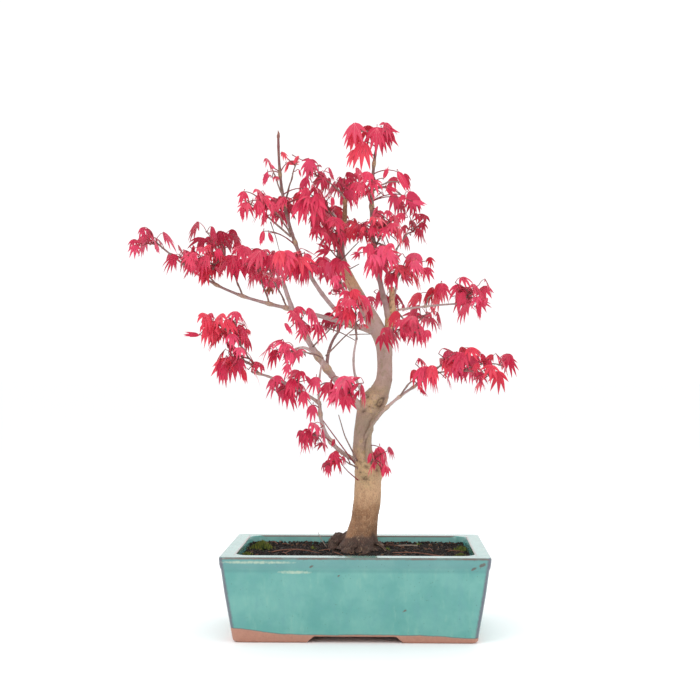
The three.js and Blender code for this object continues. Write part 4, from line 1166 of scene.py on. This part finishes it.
def drawn_from(start):
    """Numbers from 0 to 1 in a fixed order, the same as the solids were grown with."""
    state = start & 0xFFFFFFFF
    while True:
        state = (state + 0x6D2B79F5) & 0xFFFFFFFF
        mixed = ((state ^ (state >> 15)) * (state | 1)) & 0xFFFFFFFF
        other = ((mixed ^ (mixed >> 7)) * (mixed | 61)) & 0xFFFFFFFF
        mixed = ((mixed + other) ^ mixed) & 0xFFFFFFFF
        yield ((mixed ^ (mixed >> 14)) & 0xFFFFFFFF) / 2 ** 32


def leaf_place(base, midrib, face, size):
    """Where a leaf's disc is, and how wide and deep it is."""
    centre = base + midrib * middle_share * size - face * sag_share * size
    return {"size": size, "centre": centre, "radius": radius_share * size, "depth": depth_share * size}


class Growth:
    """What already stands in the crown: balls along every limb, and the disc and stalk of every leaf."""

    kept = ("centre", "face", "radius", "depth", "node", "base")

    def __init__(self):
        self.ball_points, self.ball_radii = [], []
        self.leaves = []
        self.table = {}

    def add_limb(self, limb, foot, tip):
        count = math.ceil(limb.lengths[-1] / 7)
        for step in range(count + 1):
            self.ball_points.append(limb.point(step / count))
            self.ball_radii.append(foot + (tip - foot) * step / count)

    def add_leaf(self, leaf):
        self.leaves.append(leaf)
        for key in self.kept:
            self.table.setdefault(key, []).append(leaf[key])

    def shrink_leaves(self, share):
        grown, self.leaves, self.table = self.leaves, [], {}
        for leaf in grown:
            place = leaf_place(leaf["base"], leaf["midrib"], leaf["face"], leaf["size"] * share)
            self.add_leaf({**leaf, **place})

    def misses_limbs(self, leaf, share=1.0):
        offset = np.array(self.ball_points) - leaf["centre"]
        radii = np.array(self.ball_radii)
        above = np.abs(offset @ leaf["face"])
        beside = np.sqrt(np.maximum(0, (offset ** 2).sum(1) - above ** 2))
        hit = (above <= (radii + leaf["depth"]) * share) & (beside <= leaf["radius"] * share + radii)
        return not hit.any()

    def misses_leaves(self, leaf):
        if not self.leaves:
            return True
        centre, face, radius, depth, node, base = (np.array(self.table[key]) for key in self.kept)
        offset = leaf["centre"] - centre
        level = np.abs(face @ leaf["face"])
        slope = np.sqrt(np.maximum(0, 1 - level * level))
        far = np.linalg.norm(offset, axis=1) > radius + leaf["radius"]
        side_a = np.abs((offset * face).sum(1)) > leaf["radius"] * slope + depth + leaf["depth"] * level
        side_b = np.abs(offset @ leaf["face"]) > radius * slope + leaf["depth"] + depth * level
        if not (far | side_a | side_b).all():
            return False
        if not self.stalk_misses(leaf["node"][None], leaf["base"][None], centre, face, radius):
            return False
        disc = leaf["centre"][None], leaf["face"][None], np.array([leaf["radius"]])
        return self.stalk_misses(node, base, *disc)

    @staticmethod
    def stalk_misses(node, base, centre, face, radius):
        before = ((node - centre) * face).sum(1)
        after = ((base - centre) * face).sum(1)
        share = before / np.where(before == after, 1, before - after)
        crossing = node + (base - node) * share[:, None]
        return bool(((before * after > 0) | (np.linalg.norm(crossing - centre, axis=1) > 0.8 * radius)).all())


def direction(turn, rise):
    """A unit arrow: its turn round the upright and its rise over level."""
    return np.array((math.cos(turn) * math.cos(rise), math.sin(turn) * math.cos(rise), math.sin(rise)))


def facing_from(middle, number):
    """Leaves face away from the tree's middle plane, and close to it front and back by turns."""
    return math.copysign(1, middle[1]) if abs(middle[1]) > 15 else 1 - 2 * (number % 2)


def try_leaf(node, facing, hand, spray, draw, scale=1.0, pitch=(38, 80)):
    """A leaf hung from a node at random, or None if it would leave its spray's space. pitch is the least and
    most that it hangs below level."""
    spread, tilt, growth, lean, swing, rise = (next(draw) for _ in range(6))
    middle, half, _ = spray
    size = scale * min(leaf_length * (0.84 + 0.3 * growth), 0.95 * (half[0] + half[2]))
    heading = facing * math.pi / 2 + (2 * spread - 1) * 1.15
    stalk_turn = heading + (1 if hand else -1) * (0.5 + 1.3 * swing)
    base = node + direction(stalk_turn, 0.1 + 0.9 * rise) * stalk_share * size
    midrib = direction(heading, -math.radians(pitch[0] + (pitch[1] - pitch[0]) * tilt))
    level = direction(heading + math.pi / 2, 0)
    roll = (2 * lean - 1) * 0.5
    side = level * math.cos(roll) + np.cross(midrib, level) * math.sin(roll)
    face = np.cross(midrib, side)
    leaf = {"node": node, "base": base, "midrib": midrib, "side": side, "face": face,
            **leaf_place(base, midrib, face, size)}
    extent = leaf["radius"] * np.sqrt(np.maximum(0, 1 - face ** 2))
    inside = np.abs(leaf["centre"] - middle) + extent < np.array(half) + leaf_slack
    return leaf if inside.all() else None


leaf_tries = 300
growth = Growth()
for index, (height, x, y, radius) in enumerate(trunk_stations):
    below = trunk_stations[max(index - 1, 0)][0]
    growth.ball_points += [np.array((x, y, height), float), trunk_at((height + below) / 2)]
    growth.ball_radii += [radius, radius]
for name, _, _, _, _, (foot, tip) in bough_table:
    growth.add_limb(limbs[name], foot, tip)


def grow_shoot(start, tip, nodes, run, spray, draw):
    """A shoot with a pair of leaves at each of its last nodes. One that finds no clear place is left out."""
    reach = tip - start
    limb = Limb(start, reach, (0, 0, 0.1 * float(np.linalg.norm(reach))))
    growth.add_limb(limb, stem_radius, twig_radius)
    middle = spray[0]
    for node in range(1, nodes + 1):
        point = limb.even((run + node) / (run + nodes) - (0.02 if node == nodes else 0))
        for hand in (0, 1):
            facing = facing_from(middle, hand + node)
            for _ in range(leaf_tries):
                leaf = try_leaf(point, facing, hand, spray, draw)
                if leaf and growth.misses_leaves(leaf) and growth.misses_limbs(leaf):
                    growth.add_leaf(leaf)
                    break
    return {"limb": limb, "steps": run + nodes, "run": run, "spray": spray}


masses = []
for index, (name, foot_on, sprays) in enumerate(mass_table):
    draw = drawn_from(2417 + 97 * index)
    root = foot_at(foot_on)
    shoots = []
    for spray in sprays:
        fork = shoots[0]["limb"].even(1 / shoots[0]["steps"]) if shoots else root
        middle, half, leaves = spray
        turn = next(draw) * 2 * math.pi
        pairs = math.ceil(leaves / 2)
        count = math.ceil(pairs / 3)
        first = None
        for order in range(count):
            nodes = math.ceil((pairs - order) / count)
            angle = turn + order * math.pi * 2 / count
            lift = 2 * ((order * 0.618 + next(draw)) % 1) - 1
            off_middle = (0.5 * math.cos(angle), 0.6 * math.sin(angle), 0.3 + 0.35 * lift)
            tip = np.array(middle) + np.array(half) * off_middle
            start = first["limb"].even(3 / first["steps"]) if first else fork
            shoot = grow_shoot(start, tip, nodes, 1 if first else 3, spray, draw)
            first = first or shoot
            shoots.append(shoot)
    masses.append((name, shoots))
    limbs[name] = shoots[0]["limb"]
for leaf in growth.leaves:
    leaf["young"] = leaf["size"] < young_length
growth.shrink_leaves(own_size)

# Finer twigs are spurs off the shoots, each with one smaller leaf, until the spray is as full as the tree's.
# how full a mass is, as a share of the usual
usual_fullness = 1.75
fullness = {
    "mass_top": 0, "mass_right_high": 0, "mass_right_front": 2.2, "mass_centre_right": 2,
    "mass_trunk_front": 0.5, "mass_leader_high": 0.8, "mass_right_back": 1.2, "mass_bend_front": 1.5,
    "mass_centre_front": 1.0, "mass_centre_row": 0, "mass_centre_left": 0.8, "mass_trunk_tip": 1.0,
    "mass_left_low_tip": 0.4, "mass_left_low_inner": 1.6, "mass_left_low_front": 0.6,
    "mass_far_left": 0.9, "mass_far_left_tip": 0.6, "mass_right_shoulder": 1.3, "mass_right_mid": 0,
    "mass_back_right": 0.4, "mass_back_left": 0.4, "mass_fork_front": 1.7, "mass_left_upper": 0.5,
    "mass_left_crown": 0.8, "mass_left_back": 0.5, "mass_right_low_inner": 0.3, "mass_right_low_tip": 0.7,
    "mass_left_shoots": 0.8, "mass_steep_front": 0.3, "mass_leader_side": 1.3, "mass_left_mid": 0.9,
    "mass_back_top": 0.8, "mass_left_crown_front": 0.35,
}
spur_tries = 60
crowding = 0.5
limb_clearance = 0.75
youngest_scale = 0.56
spurs = []
for index, (name, shoots) in enumerate(masses):
    draw = drawn_from(90001 + 131 * index)
    for shoot in shoots:
        spray = shoot["spray"]
        middle, half, leaves = spray
        mine = [s for s in shoots if s["spray"] is spray]
        wanted = math.ceil(leaves * usual_fullness * fullness.get(name, 1) / len(mine))
        bare_share = shoot["run"] / shoot["steps"] * 0.8
        made = 0
        for _ in range(spur_tries * wanted):
            if made >= wanted:
                break
            share = bare_share + next(draw) * (1 - bare_share)
            start = shoot["limb"].even(min(share, 0.99))
            spur = direction(next(draw) * 2 * math.pi, -0.7 + 1.4 * next(draw)) * (4 + 20 * next(draw))
            scale = 0.46 + 0.38 * next(draw)
            leaf = try_leaf(start + spur, facing_from(middle, made), made % 2, spray, draw, scale, (12, 74))
            if leaf is None:
                continue
            gaps = np.linalg.norm(np.array(growth.table["centre"]) - leaf["centre"], axis=1)
            close = gaps < crowding * (np.array(growth.table["radius"]) + leaf["radius"])
            if close.any() or not growth.misses_limbs(leaf, limb_clearance):
                continue
            leaf["young"] = scale < youngest_scale
            growth.add_leaf(leaf)
            spurs.append((start, start + spur))
            made += 1

# Single leaves hang free of the masses, on long stalks that leave a limb. The youngest are still folded.
# foot on a limb at a share or on the trunk at a height, then each leaf: its stalk's end from there, its run
# and whether it is still folded
single_leaves = [
    (("left_leader", 0.845), [
        ((8, -1, 11), (17, -2, 1), True), ((-14, -2, 1), (-4, -1, -17), True),
        ((-6, 1, 5), (-6, 0, 7), True)]),
    (("left_leader", 0.5), [
        ((-36, -14, 16), (-8, -2, -17), True), ((-30, -16, 14), (6, -2, -14), True)]),
    (("left_leader", 0.75), [((30, -12, 4), (-13, -8, -20), False)]),
    (("left_leader", 0.7), [
        ((22, -14, 5), (-7, -10, -30), False), ((33, -14, 5), (-7, -8, -32), False)]),
    (("left_leader", 0.45), [
        ((0, -12, 2), (-21, -6, -10), False), ((6, -14, 1), (11, -6, -14), False)]),
    (("left_leader", 0.35), [((16, -16, 14), (-2, -5, -15), False)]),
    (("right_leader", 1), [
        ((-23, -6, 10), (-13, -8, -23), False), ((-1, -8, 11), (0, -6, -33), False),
        ((4, 4, 12), (14, 4, -29), False), ((11, 4, 11), (10, -4, -19), False)]),
    (("right_leader", 0.95), [((-15, -8, 5), (0, -8, -37), False)]),
    (("right_leader", 0.9), [((-22, -4, 7), (-14, -6, -20), False)]),
    (("right_leader", 0.75), [((13, -4, 5), (8, -3, 12), True)]),
    (("right_leader", 0.8), [((28, -4, 2), (16, -3, -21), True)]),
    (("right_leader", 0.7), [
        ((17, -4, 6), (14, 2, -4), True), ((16, -4, 4), (7, -2, -14), True),
        ((-17, -12, 10), (5, -8, -21), False)]),
    (("right_leader", 0.65), [((38, 2, 6), (-14, -3, -2), False), ((46, 2, 0), (17, -3, -2), True)]),
    (("right_leader", 0.6), [((6, -8, 1), (-4, -4, -16), True)]),
    (("right_leader", 0.5), [((-6, -10, 7), (-11, -4, -14), True)]),
    (("right_leader", 0.35), [
        ((4, -16, 4), (-16, -10, -28), False), ((4, -18, 3), (8, -8, -34), False),
        ((6, -16, 4), (21, -8, -21), False), ((-18, -12, 2), (-12, -4, -6), False)]),
    (("mass_left_upper", 0.5), [((-2, -7, -1), (-8, -8, -23), False)]),
    (("mass_left_upper", 0.4), [
        ((6, -8, 7), (-4, -8, -32), False), ((12, -6, 4), (8, -8, -30), False),
        ((-15, -8, 0), (9, -6, -24), False)]),
    (("mass_left_mid", 1), [((-3, -8, 1), (-14, -8, -25), False)]),
    (("mass_left_mid", 0.9), [((-4, -8, 1), (-3, -8, -26), False)]),
    (("mass_left_mid", 1), [((-18, -4, -13), (-18, -3, 5), True)]),
    (("mass_right_mid", 1), [
        ((8, -5, 12), (-14, -6, -19), False), ((9, -6, 12), (5, -6, -25), False)]),
    (("mass_right_tip", 0.6), [((-8, -5, 12), (-9, -8, -23), False)]),
    (("left_low_upright", 0.1), [((-7, -6, 4), (-4, -6, -20), False)]),
    (("left_low_upright", 0.6), [((-3, -6, 4), (-3, -8, -23), False)]),
    (("left_low_upright", 0.5), [((13, -7, 4), (-13, -8, -21), False)]),
    (("mass_fork_front", 1), [((-5, -7, -3), (8, -8, -21), False)]),
    (("mass_leader_side", 1), [((-16, -6, -2), (-6, -6, -18), False)]),
    (423, [((-13, -14, 4), (-20, -5, 3), False)]),
    (417, [((-6, -18, 1), (2, -6, -22), False)]),
    (411, [((-2, -20, 3), (7, -8, -25), False)]),
    (453, [((2, -16, 3), (-18, -8, -4), False), ((-16, -14, 5), (-6, -6, -18), False)]),
    (447, [((6, -14, 6), (3, -6, -22), False)]),
    (("right_low_bough", 0.05), [((19, -8, 1), (6, -10, -31), False)]),
    (("mass_left_mid", 0.4), [((-11, -7, -10), (-2, -8, -33), False)]),
    (("mass_left_mid", 0.2), [
        ((-26, -7, 1), (-14, -8, -24), False), ((-13, -6, 0), (11, -8, -21), False)]),
    (("right_leader", 0.5), [
        ((-16, -7, 4), (-9, -8, -21), False), ((-10, -7, 2), (5, -8, -23), False),
        ((4, -7, 7), (5, -8, -19), False)]),
    (("mass_leader_high", 0.8), [((6, -6, 1), (-2, -8, -21), False)]),
    (("mass_leader_side", 1), [
        ((3, -6, 5), (7, -6, -18), False), ((-19, -6, 10), (-6, -6, -16), False)]),
    (("mass_centre_row", 0.1), [((-7, -7, -12), (-2, -8, -21), False)]),
    (("mass_bend_front", 1), [((-4, -7, 16), (11, -8, -16), False)]),
    (("right_stump", 0.5), [((8, -8, 4), (-11, -8, -21), False)]),
    (("mass_left_low_front", 0.8), [((2, -6, -14), (-6, -6, -15), False)]),
]
long_stalks = []
draw = drawn_from(71)
for foot_on, hung_there in single_leaves:
    node = foot_at(foot_on)
    for offset, run, folded in hung_there:
        base = node + offset
        size = float(np.linalg.norm(run))
        midrib = np.array(run, float) / size
        level = np.cross(midrib, (0, 1, 0))
        level /= np.linalg.norm(level)
        roll = (2 * next(draw) - 1) * 0.6
        side = level * math.cos(roll) + np.cross(midrib, level) * math.sin(roll)
        growth.leaves.append({"node": base - midrib * 2, "base": base, "midrib": midrib, "side": side,
                              "face": np.cross(midrib, side), "size": size, "centre": base, "young": folded,
                              "folded": folded})
        long_stalks.append(bent(node, base, (0, 0, 0.12 * float(np.linalg.norm(offset))), 6))

# name, colour, roughness
leaf_colours = [
    ("leaves_crimson", tint(206, 36, 76), 0.42), ("leaves_carmine", tint(196, 30, 70), 0.42),
    ("leaves_rose", tint(216, 60, 98), 0.45), ("leaves_scarlet", tint(211, 42, 68), 0.42),
    ("leaves_garnet", tint(180, 32, 66), 0.4),
]
leaf_heaps = [Heap() for _ in leaf_colours]
rib_heap, stalk_heap, shoot_heap, spur_heap = Heap(), Heap(), Heap(), Heap()
shape_chance = np.random.default_rng(29)
# lobes: degrees off the midrib, length as a share of the leaf
lobe_plans = {
    7: [(0, 1.0), (24, 0.96), (-24, 0.96), (50, 0.8), (-50, 0.8), (84, 0.46), (-84, 0.46)],
    5: [(0, 1.0), (32, 0.92), (-32, 0.92), (68, 0.66), (-68, 0.66)],
}
down = np.array((0, 0, -1.0))
# places along a lobe, and its half width there as a share of its greatest
lobe_outline = [(0, 0.42), (0.26, 0.92), (0.48, 0.84), (0.72, 0.5), (1, 0)]


def add_lobe(heap, ribs, leaf, angle, reach, width, droop, fold):
    """One lobe, broad where it meets its neighbours, folded along its rib and drooping to its point."""
    base, midrib, side, face, size = (leaf[key] for key in ("base", "midrib", "side", "face", "size"))
    run = midrib * math.cos(angle) + side * math.sin(angle)
    points, rib = [], []
    place, before = base.copy(), 0.0
    for share, swell in lobe_outline:
        pull = droop * share
        heading = run * (1 - pull) + down * pull
        heading /= np.linalg.norm(heading)
        place = place + heading * reach * size * (share - before)
        before = share
        over = face - heading * float(face @ heading)
        over /= np.linalg.norm(over)
        across = np.cross(over, heading)
        half = width * size * swell
        sink, thin = fold * half, 0.009 * size * (1 - share)
        lifted = place + over * 0.012 * size
        points += [place - across * half + over * sink, place, place + across * half + over * sink]
        rib += [lifted - across * thin, lifted + across * thin]
    tip = 3 * (len(lobe_outline) - 1)
    faces = []
    for low in range(0, tip - 3, 3):
        faces += [(low, low + 3, low + 4, low + 1), (low + 1, low + 4, low + 5, low + 2)]
    heap.add(points[:tip + 1], faces + [(tip - 3, tip, tip - 2), (tip - 2, tip, tip - 1)])
    if reach > 0.74:
        end = 2 * (len(lobe_outline) - 1)
        ribs.add(rib[:end + 1], [(low, low + 2, low + 3, low + 1) for low in range(0, end - 2, 2)]
                 + [(end - 2, end, end - 1)])


def add_leaf(leaf, heap):
    """A leaf's lobes, spread like a hand or still closed, and its stalk."""
    size = leaf["size"]
    lobes = lobe_plans[7 if shape_chance.random() < 0.45 and size > young_length else 5]
    folded = leaf.get("folded", leaf["young"] and shape_chance.random() < 0.6)
    closing = 0.22 if folded else shape_chance.uniform(0.55, 1.0)
    droop = 0.15 if folded else shape_chance.uniform(0.2, 0.75)
    width = 0.086 * shape_chance.uniform(0.88, 1.15) * (1.16 if len(lobes) == 5 else 1)
    fold = shape_chance.uniform(0.1, 0.45)
    turned = math.radians(shape_chance.normal() * 9)
    for degrees, reach in lobes:
        angle = turned + math.radians(degrees + shape_chance.normal() * 4) * closing
        add_lobe(heap, rib_heap, leaf, angle, reach * shape_chance.uniform(0.88, 1.04),
                 width * (0.6 + 0.4 * reach), droop * shape_chance.uniform(0.8, 1.15), fold)
    rise = np.array((0, 0, 0.1 * size))
    line = bent(leaf["node"], leaf["base"] + leaf["midrib"] * 0.02 * size, rise, 3)
    stalk_heap.add(*thin_tube(line, np.linspace(0.55, 0.38, 4), 3))


# Each spray has three colours of the five, and the deeper reds are commoner behind.
front_odds = [0.36, 0.18, 0.24, 0.14, 0.08]
back_odds = [0.24, 0.22, 0.12, 0.12, 0.3]
spray_middles = [spray[0] for _, _, sprays in mass_table for spray in sprays]
colour_order = np.random.default_rng(5)
spray_colour = {}
for leaf in growth.leaves:
    middle = min(spray_middles, key=lambda m: float(np.linalg.norm(np.array(m) - leaf["centre"])))
    if middle not in spray_colour:
        odds = back_odds if middle[1] > 40 else front_odds
        spray_colour[middle] = colour_order.choice(len(leaf_colours), size=3, p=odds)
    choice = spray_colour[middle][int(shape_chance.integers(3))]
    add_leaf(leaf, leaf_heaps[choice])

mass_names = [row[0] for row in mass_table]
for (name, colour, roughness), heap in zip(leaf_colours, leaf_heaps):
    leaf_finish, tree, shader = finish_with(name + "_finish", roughness, colour)
    shader.inputs["Specular IOR Level"].default_value = 0.35
    shader.inputs["Sheen Weight"].default_value = 0.15
    leaves = heap.piece(name, leaf_finish)
    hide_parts(*mass_names)
    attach(leaves, "root")
rib_finish = plain_finish("rib_finish", 0.5, tint(226, 92, 112))
ribs = rib_heap.piece("leaf_ribs", rib_finish)
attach(ribs, "root")
stalk_finish = plain_finish("stalk_finish", 0.5, tint(176, 44, 62))
stalks = stalk_heap.piece("leaf_stalks", stalk_finish)
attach(stalks, "root")

for name, shoots in masses:
    for shoot in shoots:
        limb = shoot["limb"]
        steps = max(8, int(limb.lengths[-1] / 3))
        line = np.array([limb.even(step / steps) for step in range(steps + 1)])
        wander = np.array([[noise.noise(Vector(point) / 9 + Vector((axis * 7.3, 0, 0))) for axis in range(3)]
                           for point in line])
        ease = np.sin(np.linspace(0, math.pi, steps + 1))[:, None]
        line = line + wander * ease * 1.6
        radii = np.linspace(stem_radius * 0.85, twig_radius * 0.7, steps + 1)
        swell = 1 + 0.35 * np.exp(-(((np.arange(steps + 1) + 2) % 5 - 2) / 0.6) ** 2)
        shoot_heap.add(*thin_tube(line, radii * swell, 6))
for start, end in spurs:
    spur_heap.add(*thin_tube(bent(start, end, (0, 0, 1.0), 4), np.linspace(0.7, 0.5, 5), 5))
for line in long_stalks:
    spur_heap.add(*thin_tube(line, np.linspace(0.8, 0.45, 7), 5))
twig_finish, tree, shader = finish_with("twig_bark", 0.7)
make = Shading(tree)
where = make.object_place()
mottle = make.ramp(make.noise(where, 220, 3), 0.35, 0.65)
twig_colour = make.mix(mottle, tint(116, 88, 84), tint(150, 122, 112))
make.links.new(twig_colour, shader.inputs["Base Color"])
twigs = shoot_heap.piece("twigs", twig_finish)
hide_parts(*mass_names)
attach(twigs, "root")
spur_finish = plain_finish("young_bark", 0.55, tint(138, 50, 58))
side_twigs = spur_heap.piece("side_twigs", spur_finish)
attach(side_twigs, "root")

# ---- Bare twigs ----
# Thin shoots with no leaf yet, off the trunk, its bend and the left leader, some of them still red. A dry
# brown flower hangs among them.

# bark, corners, thickness at the start
bare_runs = [
    ("old", [(1, -12, 190), (-13, -16, 218), (-20, -14, 242)], 0.9),
    ("red", [(-2, -12, 187), (-29, -26, 225), (-55, -27, 261)], 0.8),
    ("red", [(2, -10, 168), (-9, -17, 178), (-17, -16, 187)], 0.8),
    ("old", [(-16, 0, 413), (-34, -1, 434), (-46, 0, 446)], 0.9),
    ("old", [(-18, -3, 420), (-27, -5, 435), (-29, -4, 447)], 0.8),
    ("old", [(-17, -3, 417), (-5, -5, 430), (3, -5, 438)], 0.8),
    ("old", [(-13, -3, 404), (3, 0, 413)], 0.9),
    ("old", [(-72, -38, 440), (-95, -36, 460), (-110, -34, 473), (-127, -34, 482)], 1.2),
    ("old", [(-95, -36, 457), (-89, -35, 440), (-85, -34, 424)], 0.6),
    ("old", [(-119, -52, 299), (-129, -56, 312), (-139, -56, 324)], 0.9),
    ("old", [(-48, -36, 318), (-36, -40, 330), (-22, -38, 344)], 1.0),
    ("old", [(-33, -10, 340), (-16, -9, 334), (0, -9, 325)], 0.9),
    ("old", [(-34, -26, 308), (-13, -18, 330), (7, -14, 347)], 1.0),
    ("old", [(-8, -8, 332), (5, -6, 333), (18, -5, 333)], 0.8),
    ("red", [(-72, -20, 534), (-60, -30, 526), (-52, -34, 528)], 0.6),
]
bare_heaps = {"old": Heap(), "red": Heap()}
bare_points = 14
for kind, corners, thick in bare_runs:
    line = spread_over(corners, bare_points)
    line[1:-1] = (line[:-2] + line[1:-1] * 2 + line[2:]) / 4
    bare_heaps[kind].add(*thin_tube(line, np.linspace(thick, thick * 0.55, bare_points), 6))
for kind, material in [("old", twig_finish), ("red", spur_finish)]:
    bare = bare_heaps[kind].piece(f"bare_twigs_{kind}", material)
    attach(bare, "root")

# The spent flower hangs from the left crown, and two dry bud scales stand on the left leader's side twig.
flower = np.array((-98, -14, 386))
bud = np.array((-117, -38, 475))
petal_runs = [(-4, 0, -9), (0, -2, -10), (4, -1, -9), (-2, 2, -8), (3, 2, -8), (1, 0, -6)]
scale_runs = [(-3, 0, 8), (3, 0, 9)]
petal_radii = [0.4, 0.7, 1.1, 1.2, 0.8, 0.1]
scale_radii = [0.4, 0.6, 0.8, 0.7, 0.4, 0.1]
heap = Heap()
heap.add(*thin_tube(bent((-94, -14, 400), flower, (-2, 0, 0), 6), np.linspace(0.45, 0.35, 7), 4))
for run in petal_runs:
    heap.add(*thin_tube(bent(flower, flower + run, (run[0] * 0.3, run[1] * 0.3, 1), 5), petal_radii, 5))
for run in scale_runs:
    heap.add(*thin_tube(bent(bud, bud + run, (run[0] * 0.2, 0, 0), 5), scale_radii, 5))
husk_finish = plain_finish("husk_finish", 0.75, tint(140, 72, 56))
husks = heap.piece("spent_flower", husk_finish)
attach(husks, "root")
